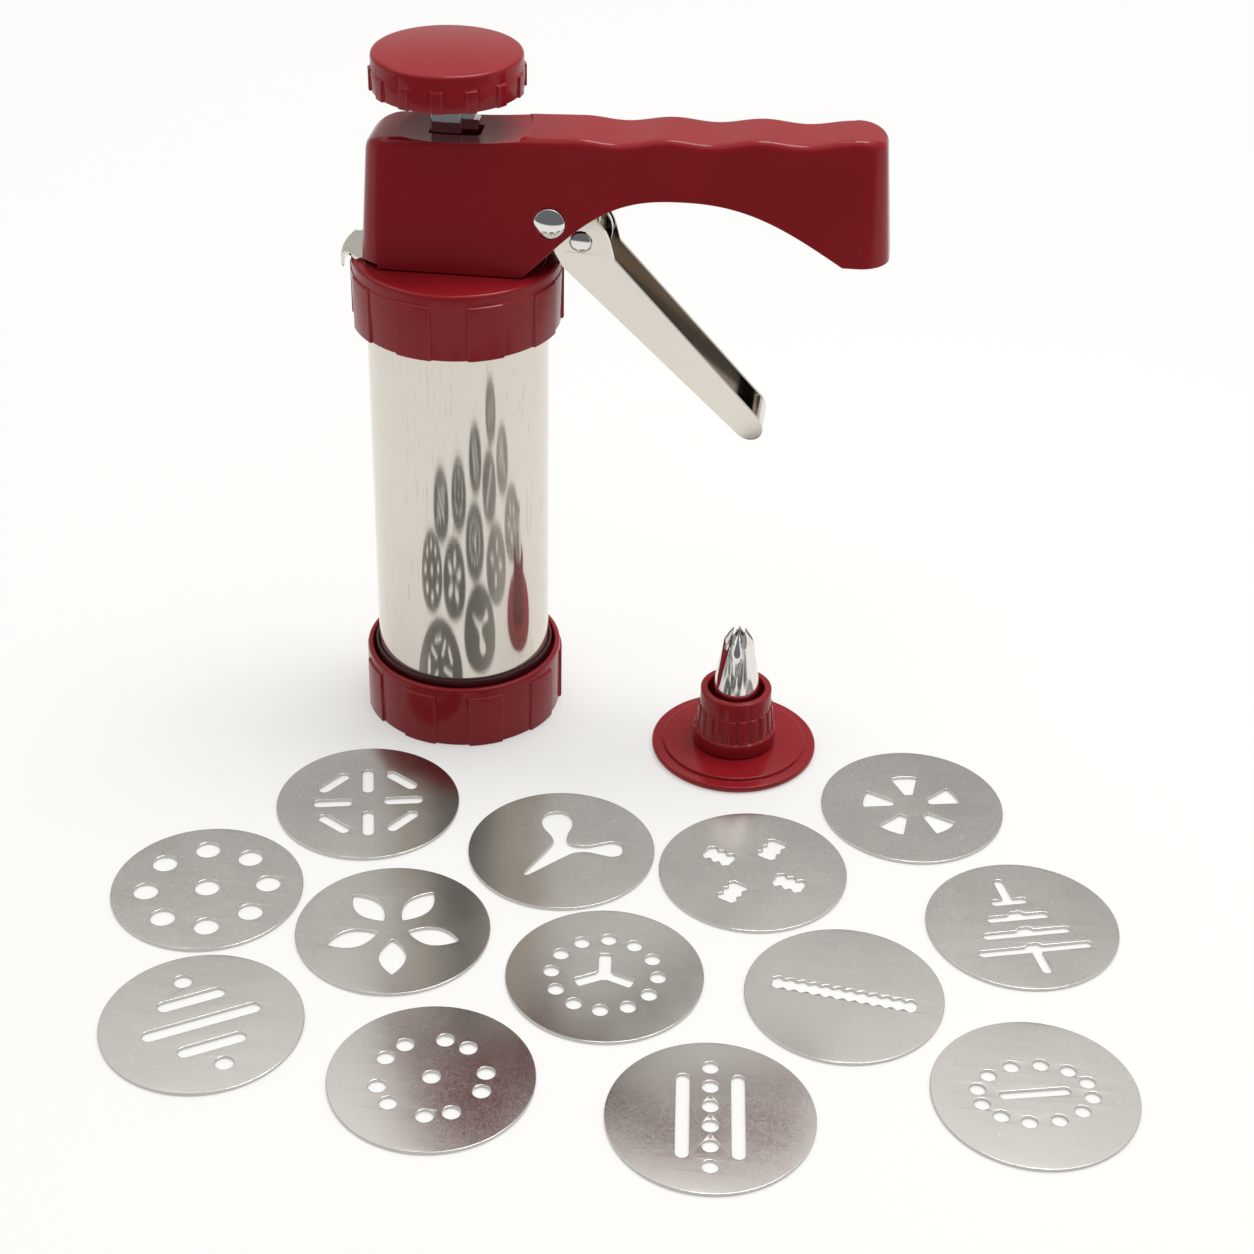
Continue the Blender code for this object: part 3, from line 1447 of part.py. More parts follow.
def make_release_plate(shop, material, parent):
    outer = PLATE_LIP_RADIUS + PLATE_THICKNESS
    tip_angle = math.degrees(math.asin(PLATE_TIP_HALF / outer))
    tip = arc((0, 0), outer, 180 - tip_angle, 180 + tip_angle, 9)
    outline = tip + [
        (NOSE_X, -PLATE_WIDE_HALF),
        (PLATE_WIDE_X, -PLATE_WIDE_HALF),
        (PLATE_WIDE_X, -PLATE_HALF_WIDTH),
        (PLATE_END_X, -PLATE_HALF_WIDTH),
        (PLATE_END_X, PLATE_HALF_WIDTH),
        (PLATE_WIDE_X, PLATE_HALF_WIDTH),
        (PLATE_WIDE_X, PLATE_WIDE_HALF),
        (NOSE_X, PLATE_WIDE_HALF),
    ]
    window = [
        (WINDOW_LEFT_X, -WINDOW_HALF),
        (WINDOW_RIGHT_X, -WINDOW_HALF),
        (WINDOW_RIGHT_X, WINDOW_HALF),
        (WINDOW_LEFT_X, WINDOW_HALF),
    ]
    plate = shop.flat("release_plate", [outline, window], PLATE_THICKNESS)
    middle = (PLATE_BOTTOM + PLATE_TOP) / 2
    plate.data.transform(Matrix.Translation((0, 0, middle)))
    lip_outline = tip + arc(
        (0, 0), PLATE_LIP_RADIUS, 180 + tip_angle, 180 - tip_angle, 9
    )
    lip = shop.flat("plate_lip", [lip_outline], PLATE_LIP_DROP + PLATE_THICKNESS / 2)
    lip_middle = middle - (PLATE_LIP_DROP + PLATE_THICKNESS / 2) / 2
    lip.data.transform(Matrix.Translation((0, 0, lip_middle)))
    tab = shop.box(
        "plate_tab",
        (PLATE_END_X - PLATE_THICKNESS, -PLATE_TAB_HALF, middle),
        (PLATE_END_X, PLATE_TAB_HALF, PLATE_TOP + PLATE_TAB_HEIGHT),
    )
    shop.join(plate, lip, tab)
    shop.finish(plate, material, parent)


def make_release_spring(shop, material, parent):
    wire = RELEASE_SPRING_WIRE / 2
    per_turn = 9
    low = PLATE_END_X + GAP + wire
    high = SPRING_POST_X - GAP - wire
    height = PLATE_TOP + PLATE_TAB_HEIGHT / 2
    count = RELEASE_SPRING_TURNS * per_turn
    points = []
    for i in range(count + 1):
        y, z = polar(RELEASE_SPRING_RADIUS, 360 * i / per_turn, (0, height))
        points.append((low + (high - low) * i / count, y, z))
    print("release spring least gap, mm:", round(1000 * least_gap(points, wire, per_turn - 2), 2))
    shop.finish(shop.wire("release_spring", points, wire), material, parent)


# Discs and nozzle


def make_discs(shop, material, parent):
    for name, shares in DISC_PLACE_SHARES.items():
        x, y = (share * DISC_RADIUS for share in shares)
        seat = shop.empty(name + "_seat", (x, y, 0), parent)
        rim = circle((0, 0), DISC_RADIUS, STEPS)
        disc = shop.flat(name, [rim] + PATTERNS[name](), DISC_THICKNESS)
        disc.data.transform(Matrix.Translation((0, 0, DISC_THICKNESS / 2)))
        disc.location = (x, y, 0)
        shop.finish(disc, material, seat)


def make_adapter(shop, material, parent):
    step_top = ADAPTER_FLANGE + ADAPTER_STEP
    profile = [
        (ADAPTER_BORE_RADIUS, ADAPTER_BOSS_TOP),
        (ADAPTER_BOSS_RADIUS, ADAPTER_BOSS_TOP),
        (ADAPTER_BOSS_RADIUS, step_top),
        (ADAPTER_STEP_RADIUS, step_top),
        (ADAPTER_STEP_RADIUS, ADAPTER_FLANGE),
        (ADAPTER_RADIUS, ADAPTER_FLANGE),
        (ADAPTER_RADIUS, 0),
        (ADAPTER_BORE_RADIUS, 0),
    ]
    adapter = shop.turned("nozzle_adapter", profile, closed=True)
    adapter.location = (*NOZZLE_PLACE, 0)
    shop.finish(adapter, material, parent)


def make_nut(shop, material, parent):
    base = ADAPTER_FLANGE + ADAPTER_STEP + GAP
    band_low = NUT_BAND_RADIUS
    band_high = NUT_BAND_RADIUS - NUT_BAND_TAPER

    def profile(raised):
        out = NUT_RIB_OUT if raised else 0
        return [
            (NUT_BORE_RADIUS, NUT_TOP),
            (NUT_TOP_RADIUS, NUT_TOP),
            (NUT_TOP_RADIUS, NUT_BAND_TOP),
            (band_high + out, NUT_BAND_TOP),
            (band_low + out, NUT_BASE_TOP + GAP),
            (NUT_BASE_RADIUS, NUT_BASE_TOP),
            (NUT_BASE_RADIUS, base),
            (NUT_INNER_RADIUS, base),
            (NUT_INNER_RADIUS, NUT_TOP - NUT_LIP),
            (NUT_BORE_RADIUS, NUT_TOP - NUT_LIP),
        ]

    pitch = 360 / NUT_RIB_COUNT
    sections = []
    for i in range(2 * NUT_RIB_COUNT):
        angle = math.radians(pitch * i / 2)
        c, s = math.cos(angle), math.sin(angle)
        sections.append([(r * c, r * s, z) for r, z in profile(i % 2 == 0)])
    nut = shop.loft("nozzle_nut", sections, ring=True)
    nut.location = (*NOZZLE_PLACE, 0)
    shop.finish(nut, material, parent)


def make_tip(shop, material, parent):
    rim_bottom = ADAPTER_BOSS_TOP + GAP
    rim_top = rim_bottom + TIP_RIM
    per_lobe = 6
    levels = 4

    def outer_radius(height, wave):
        """Radius at a height. The flutes deepen towards the mouth."""
        share = (height - rim_top) / (TIP_MOUTH_TOP - rim_top)
        plain = TIP_BASE_RADIUS + (TIP_MOUTH_RADIUS - TIP_BASE_RADIUS) * share
        run = max(0, share - TIP_FLUTE_START_SHARE) / (1 - TIP_FLUTE_START_SHARE)
        depth = TIP_FLUTE_SHARE * run
        return plain * (1 - depth * wave)

    sections = []
    for i in range(TIP_LOBES * per_lobe):
        angle = 2 * math.pi * i / (TIP_LOBES * per_lobe)
        wave = (1 - math.cos(TIP_LOBES * angle)) / 2
        top = TIP_MOUTH_TOP + TIP_PRONG * (1 / 2 - wave)
        profile = [(TIP_RIM_RADIUS, rim_top), (TIP_RIM_RADIUS, rim_bottom)]
        inner = []
        outer = []
        for level in range(levels + 1):
            height = rim_top + (top - rim_top) * level / levels
            radius = outer_radius(height, wave)
            outer.append((radius, height))
            inner.append((radius - TIP_WALL, height))
        profile += [(TIP_BASE_RADIUS - TIP_WALL, rim_bottom)] + inner + outer[::-1]
        c, s = math.cos(angle), math.sin(angle)
        sections.append([(r * c, r * s, z) for r, z in profile])
    tip = shop.loft("nozzle_tip", sections, ring=True)
    tip.location = (*NOZZLE_PLACE, 0)
    shop.finish(tip, material, parent)


def centre_set(shop, root):
    """Moves the root so that the middle of the set's box lies over the world's origin."""
    bpy.context.view_layer.update()
    corners = []
    for piece in shop.finished:
        corners += [piece.matrix_world @ vertex.co for vertex in piece.data.vertices]
    low = [min(corner[k] for corner in corners) for k in range(3)]
    high = [max(corner[k] for corner in corners) for k in range(3)]
    middle = [(low[k] + high[k]) / 2 for k in range(2)]
    root.location = (-middle[0], -middle[1], -low[2])
    bpy.context.view_layer.update()
    print("press axis at, mm:", [round(1000 * value, 3) for value in root.location])


def main():
    clear_scene()
    shop = Workshop()
    red = new_material("red_plastic", RED, 0.18, 0.0)
    dark_red = new_material("dark_red_plastic", DARK_RED, 0.35, 0.0)
    steel = new_material("brushed_steel", STEEL, 0.30, 1.0)
    bright = new_material("bright_steel", BRIGHT_STEEL, 0.15, 1.0)
    rubber = new_material("black_rubber", BLACK_RUBBER, 0.70, 0.0)

    root = shop.empty("cookie_press_set", (0, 0, 0))
    foot_axis = shop.empty("bottom_ring_axis", (0, 0, 0), root)
    top_axis = shop.empty("top_ring_axis", (0, 0, TOP_RING_BOTTOM), root)
    plunger = shop.empty("plunger_axis", (ROD_CENTRE, 0, PISTON_BOTTOM), root)
    trigger_axis = shop.empty("trigger_axis", (PIVOT_X, 0, PIVOT_Z), root)
    pawl_x, pawl_z = at_pivot(PAWL_POINT)
    pawl_axis = shop.empty("pawl_axis", (pawl_x, 0, pawl_z), trigger_axis)
    release_axis = shop.empty("release_axis", (0, 0, PLATE_BOTTOM), root)
    nozzle_seat = shop.empty("nozzle_seat", (*NOZZLE_PLACE, 0), root)
    nut_axis = shop.empty("nozzle_nut_axis", (*NOZZLE_PLACE, NUT_BASE_TOP), nozzle_seat)

    make_foot_ring(shop, red, foot_axis)
    make_barrel(shop, steel, dark_red, root)
    make_top_ring(shop, red, top_axis)
    make_flange(shop, red, root)
    make_flange_screws(shop, steel, root)
    make_piston(shop, dark_red, rubber, steel, plunger)
    make_rod(shop, bright, plunger)
    make_knob(shop, red, plunger)
    make_handle(shop, red, root)
    make_trigger(shop, steel, trigger_axis)
    make_trigger_pin(shop, bright, root)
    make_rivet(shop, bright, trigger_axis)
    make_link(shop, steel, trigger_axis)
    make_pawl(shop, bright, steel, trigger_axis, pawl_axis)
    make_trigger_spring(shop, steel, trigger_axis)
    make_release_plate(shop, steel, release_axis)
    make_release_spring(shop, steel, root)
    make_discs(shop, steel, root)
    make_adapter(shop, red, nozzle_seat)
    make_nut(shop, red, nut_axis)
    make_tip(shop, bright, nozzle_seat)
    centre_set(shop, root)


main()
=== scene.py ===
"""Looks of the cookie press set: finer pieces, finishes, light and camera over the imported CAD."""

import logging
import math
from dataclasses import dataclass, field
from enum import Enum
from typing import Callable, Iterable, Sequence

import bmesh
import bpy
from mathutils import Matrix, Vector


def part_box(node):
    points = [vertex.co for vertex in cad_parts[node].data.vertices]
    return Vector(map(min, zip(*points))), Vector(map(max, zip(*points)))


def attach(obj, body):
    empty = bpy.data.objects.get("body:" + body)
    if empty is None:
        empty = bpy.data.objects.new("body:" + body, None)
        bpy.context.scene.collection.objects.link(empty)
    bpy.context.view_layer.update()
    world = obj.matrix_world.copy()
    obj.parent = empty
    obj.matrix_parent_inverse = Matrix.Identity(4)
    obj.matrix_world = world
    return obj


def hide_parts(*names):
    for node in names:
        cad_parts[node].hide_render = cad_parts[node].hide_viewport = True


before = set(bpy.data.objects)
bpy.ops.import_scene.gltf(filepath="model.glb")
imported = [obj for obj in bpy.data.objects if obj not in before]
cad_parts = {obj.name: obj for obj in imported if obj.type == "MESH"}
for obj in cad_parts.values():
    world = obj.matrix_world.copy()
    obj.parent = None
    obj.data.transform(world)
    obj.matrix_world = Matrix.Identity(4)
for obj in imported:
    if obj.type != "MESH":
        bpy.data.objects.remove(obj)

logging.basicConfig(level=logging.INFO, format="%(message)s")
log = logging.getLogger("press")

Flat = tuple[float, float]
Outline = list[Flat]
Section = list[tuple[float, float, float]]
Shade = tuple[float, float, float]
Tone = tuple[float, float, float, float]

BARREL_LOW, BARREL_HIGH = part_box("barrel")
AXIS = Vector(((BARREL_LOW.x + BARREL_HIGH.x) / 2, (BARREL_LOW.y + BARREL_HIGH.y) / 2, 0))
BARREL_RADIUS = (BARREL_HIGH.x - BARREL_LOW.x) / 2
GAP = 0.0003
TIDY = 0.000001


class Slot(Enum):
    """The record's material slots."""

    RED = "red_plastic"
    DARK_RED = "dark_red_plastic"
    BARREL = "barrel_steel"
    DISC = "disc_steel"
    TRIGGER = "trigger_steel"
    BRIGHT = "bright_steel"
    HARDWARE = "hardware_steel"
    RUBBER = "black_rubber"


# Outlines in the plane


def polar(radius: float, degrees: float, centre: Flat = (0, 0)) -> Flat:
    """A point at a distance and direction from a centre."""
    angle = math.radians(degrees)
    return centre[0] + radius * math.cos(angle), centre[1] + radius * math.sin(angle)


def arc(centre: Flat, radius: float, first: float, last: float, count: int) -> Outline:
    """Points along an arc, both ends included."""
    return [polar(radius, first + (last - first) * i / (count - 1), centre) for i in range(count)]


def circle(centre: Flat, radius: float, count: int = 40) -> Outline:
    """A closed circle as a loop of points."""
    return [polar(radius, 360 * i / count, centre) for i in range(count)]


def spun(outline: Outline, degrees: float, centre: Flat = (0, 0)) -> Outline:
    """The outline turned round the origin and then moved.

    Args:
        outline: the points to turn.
        degrees: how far, counter-clockwise.
        centre: where the origin goes.

    Returns:
        The turned points.
    """
    angle = math.radians(degrees)
    c, s = math.cos(angle), math.sin(angle)
    return [(centre[0] + c * x - s * y, centre[1] + s * x + c * y) for x, y in outline]


def around(outline: Outline, count: int, first: float) -> list[Outline]:
    """Copies of an outline spaced evenly round the origin."""
    return [spun(outline, first + 360 * i / count) for i in range(count)]


def slot(centre: Flat, length: float, width: float, degrees: float = 0) -> Outline:
    """A slot with round ends.

    Args:
        centre: the slot's middle.
        length: its whole length.
        width: its width.
        degrees: direction it lies along.

    Returns:
        The closed outline.
    """
    reach = (length - width) / 2
    ends = arc((reach, 0), width / 2, -90, 90, 13) + arc((-reach, 0), width / 2, 90, 270, 13)
    return spun(ends, degrees, centre)


def filleted(corners: Sequence[tuple[float, float, float]], steps: int = 6, closed: bool = True) -> Outline:
    """A polygon whose corners are rounded.

    Args:
        corners: (x, y, radius) of each corner; a radius of 0 keeps the corner sharp.
        steps: how many pieces each round corner has.
        closed: whether the last corner joins the first.

    Returns:
        The outline's points.
    """
    outline: Outline = []
    count = len(corners)
    for i, (x, y, radius) in enumerate(corners):
        here = Vector((x, y))
        ends = not closed and i in (0, count - 1)
        if radius <= 0 or ends:
            outline.append((x, y))
            continue
        before = Vector(corners[i - 1][:2]) - here
        after = Vector(corners[(i + 1) % count][:2]) - here
        bend = before.angle(after)
        run = min(radius / math.tan(bend / 2), before.length * 0.49, after.length * 0.49)
        real = run * math.tan(bend / 2)
        first, last = here + before.normalized() * run, here + after.normalized() * run
        middle = here + (before.normalized() + after.normalized()).normalized() * math.hypot(run, real)
        start = math.atan2(first.y - middle.y, first.x - middle.x)
        sweep = math.atan2(last.y - middle.y, last.x - middle.x) - start
        sweep = (sweep + math.pi) % (2 * math.pi) - math.pi
        for k in range(steps + 1):
            angle = start + sweep * k / steps
            outline.append((middle.x + real * math.cos(angle), middle.y + real * math.sin(angle)))
    return outline


def window(low: Flat, high: Flat, corner: float, steps: int) -> Outline:
    """A rounded rectangle."""
    places = (low, (high[0], low[1]), high, (low[0], high[1]))
    return filleted([(*place, corner) for place in places], steps)


def flowing(points: Outline, steps: int = 5) -> Outline:
    """A smooth closed line through the points.

    Args:
        points: the points it passes through.
        steps: how many pieces lie between two of them.

    Returns:
        The line's points.
    """
    line: Outline = []
    count = len(points)
    for i in range(count):
        ends = [Vector(points[(i + k) % count]) for k in (-1, 0, 1, 2)]
        for k in range(steps):
            t = k / steps
            place = (
                ends[1] * 2
                + (ends[2] - ends[0]) * t
                + (ends[0] * 2 - ends[1] * 5 + ends[2] * 4 - ends[3]) * t * t
                + (ends[1] * 3 - ends[0] - ends[2] * 3 + ends[3]) * t**3
            ) / 2
            line.append((place.x, place.y))
    return line


def bezier(ends: Sequence[Flat], count: int) -> Outline:
    """Points of a cubic curve, without its first point.

    Args:
        ends: its first point, its two pulls and its last point.
        count: how many points.

    Returns:
        The curve's points.
    """
    points: Outline = []
    for i in range(1, count + 1):
        t = i / count
        weights = ((1 - t) ** 3, 3 * t * (1 - t) ** 2, 3 * t * t * (1 - t), t**3)
        points.append(tuple(sum(w * p[k] for w, p in zip(weights, ends)) for k in (0, 1)))
    return points


def eased(share: float) -> float:
    """A share from 0 to 1 with soft ends."""
    share = min(1, max(0, share))
    return share * share * (3 - 2 * share)


# Meshes


class Mould:
    """Makes meshes in the press's own frame: origin on the barrel's axis, on the table."""

    @staticmethod
    def object(name: str, shape: bmesh.types.BMesh) -> bpy.types.Object:
        """Turns a bmesh into an object of the scene.

        Args:
            name: the object's name.
            shape: the bmesh, which is freed.

        Returns:
            The object.
        """
        bmesh.ops.remove_doubles(shape, verts=shape.verts, dist=TIDY)
        bmesh.ops.dissolve_degenerate(shape, edges=shape.edges, dist=TIDY)
        bmesh.ops.recalc_face_normals(shape, faces=shape.faces)
        mesh = bpy.data.meshes.new(name)
        shape.to_mesh(mesh)
        shape.free()
        made = bpy.data.objects.new(name, mesh)
        bpy.context.scene.collection.objects.link(made)
        return made

    @staticmethod
    def loft(name: str, sections: Sequence[Section], ring: bool = False) -> bpy.types.Object:
        """Joins sections of equal length into one closed body.

        Args:
            name: the object's name.
            sections: loops of points.
            ring: whether the last section joins the first.

        Returns:
            The body.
        """
        shape = bmesh.new()
        loops = [[shape.verts.new(point) for point in section] for section in sections]
        count = len(sections[0])
        for here, there in zip(loops, loops[1:] + (loops[:1] if ring else [])):
            for i in range(count):
                j = (i + 1) % count
                shape.faces.new((here[i], here[j], there[j], there[i]))
        if not ring:
            shape.faces.new(loops[0])
            shape.faces.new(loops[-1])
        return Mould.object(name, shape)

    @staticmethod
    def turned(name: str, profile: Outline, segments: int = 160) -> bpy.types.Object:
        """Turns a closed (radius, height) profile round Z.

        Args:
            name: the object's name.
            profile: the section's outline; points at radius 0 lie on the axis.
            segments: how many pieces the turn has.

        Returns:
            The body.
        """
        sections = []
        for i in range(segments):
            angle = 2 * math.pi * i / segments
            c, s = math.cos(angle), math.sin(angle)
            sections.append([(r * c, r * s, z) for r, z in profile])
        return Mould.loft(name, sections, ring=True)

    @staticmethod
    def ribbed(
        name: str, profile_at: Callable[[float], Outline], count: int, first: float, width: float,
        edge: float, fill: int,
    ) -> bpy.types.Object:
        """Turns a profile round Z that is raised over evenly spaced panels.

        Args:
            name: the object's name.
            profile_at: gives the profile at a level from 0, low, to 1, raised.
            count: how many panels.
            first: direction of the first panel's middle, in degrees.
            width: a panel's width, in degrees.
            edge: how many degrees a panel's edge takes.
            fill: how many sections each plain stretch has.

        Returns:
            The body.
        """
        pitch = 360 / count
        half = width / 2
        turns: list[tuple[float, float]] = []
        for k in range(fill + 1):
            turns.append(((edge / 2 - half) + (2 * half - edge) * k / fill, 1.0))
        for k in range(1, 5):
            turns.append((half - edge / 2 + edge * k / 5, 1 - eased(k / 5)))
        for k in range(fill + 1):
            turns.append((half + edge / 2 + (pitch - 2 * half - edge) * k / fill, 0.0))
        for k in range(1, 5):
            turns.append((pitch - half - edge / 2 + edge * k / 5, eased(k / 5)))
        sections = []
        for i in range(count):
            for turn, level in turns:
                angle = math.radians(first + i * pitch + turn)
                c, s = math.cos(angle), math.sin(angle)
                sections.append([(r * c, r * s, z) for r, z in profile_at(level)])
        return Mould.loft(name, sections, ring=True)

    @staticmethod
    def plate(
        name: str, outlines: Sequence[Outline], low: float, high: float, edge: float = 0.0, steps: int = 2
    ) -> bpy.types.Object:
        """A flat plate with holes and softly rounded edges.

        Args:
            name: the object's name.
            outlines: the rim, and then the holes.
            low: height of its underside.
            high: height of its top.
            edge: radius of its edges.
            steps: how many pieces each edge has.

        Returns:
            The plate.
        """
        curve = bpy.data.curves.new(name, "CURVE")
        curve.dimensions = "2D"
        curve.fill_mode = "BOTH"
        curve.extrude = (high - low) / 2 - edge
        curve.bevel_depth = edge
        curve.bevel_resolution = steps
        curve.offset = -edge
        for outline in outlines:
            spline = curve.splines.new("POLY")
            spline.points.add(len(outline) - 1)
            for point, (x, y) in zip(spline.points, outline):
                point.co = (x, y, 0, 1)
            spline.use_cyclic_u = True
        guide = bpy.data.objects.new(name + "_guide", curve)
        bpy.context.scene.collection.objects.link(guide)
        graph = bpy.context.evaluated_depsgraph_get()
        mesh = bpy.data.meshes.new_from_object(guide.evaluated_get(graph))
        bpy.data.objects.remove(guide, do_unlink=True)
        shape = bmesh.new()
        shape.from_mesh(mesh)
        bpy.data.meshes.remove(mesh)
        bmesh.ops.translate(shape, verts=shape.verts, vec=(0, 0, (low + high) / 2))
        return Mould.object(name, shape)

    @staticmethod
    def side_plate(
        name: str, outlines: Sequence[Outline], low_y: float, high_y: float, edge: float = 0.0
    ) -> bpy.types.Object:
        """A plate whose outlines are in the side view, as (x, z).

        Args:
            name: the object's name.
            outlines: the rim, and then the holes.
            low_y: its near face.
            high_y: its far face.
            edge: radius of its edges.

        Returns:
            The plate.
        """
        made = Mould.plate(name, outlines, -high_y, -low_y, edge)
        made.data.transform(Matrix.Rotation(math.radians(90), 4, "X"))
        return made

    @staticmethod
    def rod(name: str, radius: float, low: Vector, high: Vector, steps: int = 48) -> bpy.types.Object:
        """A round bar between two points, which cuts holes.

        Args:
            name: the object's name.
            radius: its radius.
            low: its first end.
            high: its other end.
            steps: how many sides it has.

        Returns:
            The bar.
        """
        low, high = Vector(low), Vector(high)
        turn = (high - low).to_track_quat("Z", "Y").to_matrix().to_4x4()
        length = (high - low).length
        profile = [(0, 0), (radius, 0), (radius, length), (0, length)]
        made = Mould.turned(name, profile, steps)
        made.data.transform(Matrix.Translation(low) @ turn)
        return made

    @staticmethod
    def block(name: str, low: Sequence[float], high: Sequence[float]) -> bpy.types.Object:
        """A box between two corners, which cuts slots.

        Args:
            name: the object's name.
            low: its lowest corner.
            high: its highest corner.

        Returns:
            The box.
        """
        corners = [(low[0], low[1]), (high[0], low[1]), (high[0], high[1]), (low[0], high[1])]
        sections = [[(x, y, z) for x, y in corners] for z in (low[2], high[2])]
        return Mould.loft(name, sections)

    @staticmethod
    def bake(piece: bpy.types.Object) -> bpy.types.Object:
        """Applies the piece's modifiers to its mesh.

        Args:
            piece: the piece.

        Returns:
            The same piece.
        """
        graph = bpy.context.evaluated_depsgraph_get()
        graph.update()
        old = piece.data
        piece.data = bpy.data.meshes.new_from_object(piece.evaluated_get(graph))
        piece.modifiers.clear()
        bpy.data.meshes.remove(old)
        return piece

    @staticmethod
    def cut(piece: bpy.types.Object, *others: bpy.types.Object) -> bpy.types.Object:
        """Cuts other bodies from the piece and removes them."""
        return Mould._combine(piece, others, "DIFFERENCE")

    @staticmethod
    def join(piece: bpy.types.Object, *others: bpy.types.Object) -> bpy.types.Object:
        """Joins other bodies to the piece."""
        return Mould._combine(piece, others, "UNION")

    @staticmethod
    def gather(piece: bpy.types.Object, other: bpy.types.Object) -> bpy.types.Object:
        """Lays another closed body into the piece's mesh.

        Args:
            piece: the piece.
            other: the body, which is removed.

        Returns:
            The same piece.
        """
        shape = bmesh.new()
        shape.from_mesh(piece.data)
        shape.from_mesh(other.data)
        shape.to_mesh(piece.data)
        shape.free()
        bpy.data.objects.remove(other, do_unlink=True)
        return piece

    @staticmethod
    def _combine(
        piece: bpy.types.Object, others: Iterable[bpy.types.Object], operation: str
    ) -> bpy.types.Object:
        for other in others:
            modifier = piece.modifiers.new(other.name, "BOOLEAN")
            modifier.operation = operation
            modifier.object = other
            modifier.solver = "EXACT"
            Mould.bake(piece)
            bpy.data.objects.remove(other, do_unlink=True)
        return piece

    @staticmethod
    def edged(
        piece: bpy.types.Object, width: float, angle: float = 40, segments: int = 3
    ) -> bpy.types.Object:
        """Rounds the piece's sharp edges.

        Args:
            piece: the piece.
            width: how far each round edge reaches.
            angle: edges that bend less than this many degrees stay.
            segments: how many pieces a round edge has.

        Returns:
            The same piece.
        """
        bevel = piece.modifiers.new("Edges", "BEVEL")
        bevel.width = width
        bevel.segments = segments
        bevel.limit_method = "ANGLE"
        bevel.angle_limit = math.radians(angle)
        bevel.miter_outer = "MITER_ARC"
        return Mould.bake(piece)


# Finishes


class Graph:
    """A material's or group's nodes, made and linked by short calls."""

    def __init__(self, tree: bpy.types.NodeTree) -> None:
        self.tree = tree

    def add(self, kind: str, settings: dict | None = None, **inputs) -> bpy.types.Node:
        """Makes a node.

        Args:
            kind: the node's type.
            settings: its own properties.
            inputs: values or output sockets for its inputs, with _ for a space.

        Returns:
            The node.
        """
        node = self.tree.nodes.new(kind)
        for key, value in (settings or {}).items():
            setattr(node, key, value)
        for key, value in inputs.items():
            self.feed(node.inputs[key.replace("_", " ")], value)
        return node

    def feed(self, socket: bpy.types.NodeSocket, value: object) -> None:
        """Links an output to a socket, or sets the socket.

        Args:
            socket: the input.
            value: an output socket, or a plain value.
        """
        if isinstance(value, bpy.types.NodeSocket):
            self.tree.links.new(value, socket)
        else:
            socket.default_value = value

    def maths(self, operation: str, first: object, second: object = 0.0) -> bpy.types.NodeSocket:
        """One sum.

        Args:
            operation: the Math node's operation.
            first: its first value.
            second: its second value.

        Returns:
            The result's socket.
        """
        node = self.add("ShaderNodeMath", {"operation": operation})
        self.feed(node.inputs[0], first)
        self.feed(node.inputs[1], second)
        return node.outputs[0]

    def spread(
        self, value: object, low: float, high: float, to_low: float, to_high: float
    ) -> bpy.types.NodeSocket:
        """Maps a range onto another.

        Args:
            value: the socket to map.
            low: start of its range.
            high: end of its range.
            to_low: what low becomes.
            to_high: what high becomes.

        Returns:
            The result's socket.
        """
        node = self.add("ShaderNodeMapRange")
        for index, item in enumerate((value, low, high, to_low, to_high)):
            self.feed(node.inputs[index], item)
        return node.outputs[0]

    def mixed(self, share: object, first: object, second: object) -> bpy.types.NodeSocket:
        """Mixes two colours.

        Args:
            share: how much of the second.
            first: a colour or its socket.
            second: a colour or its socket.

        Returns:
            The result's socket.
        """
        node = self.add("ShaderNodeMix", {"data_type": "RGBA"})
        for index, item in ((0, share), (6, first), (7, second)):
            self.feed(node.inputs[index], item)
        return node.outputs[2]


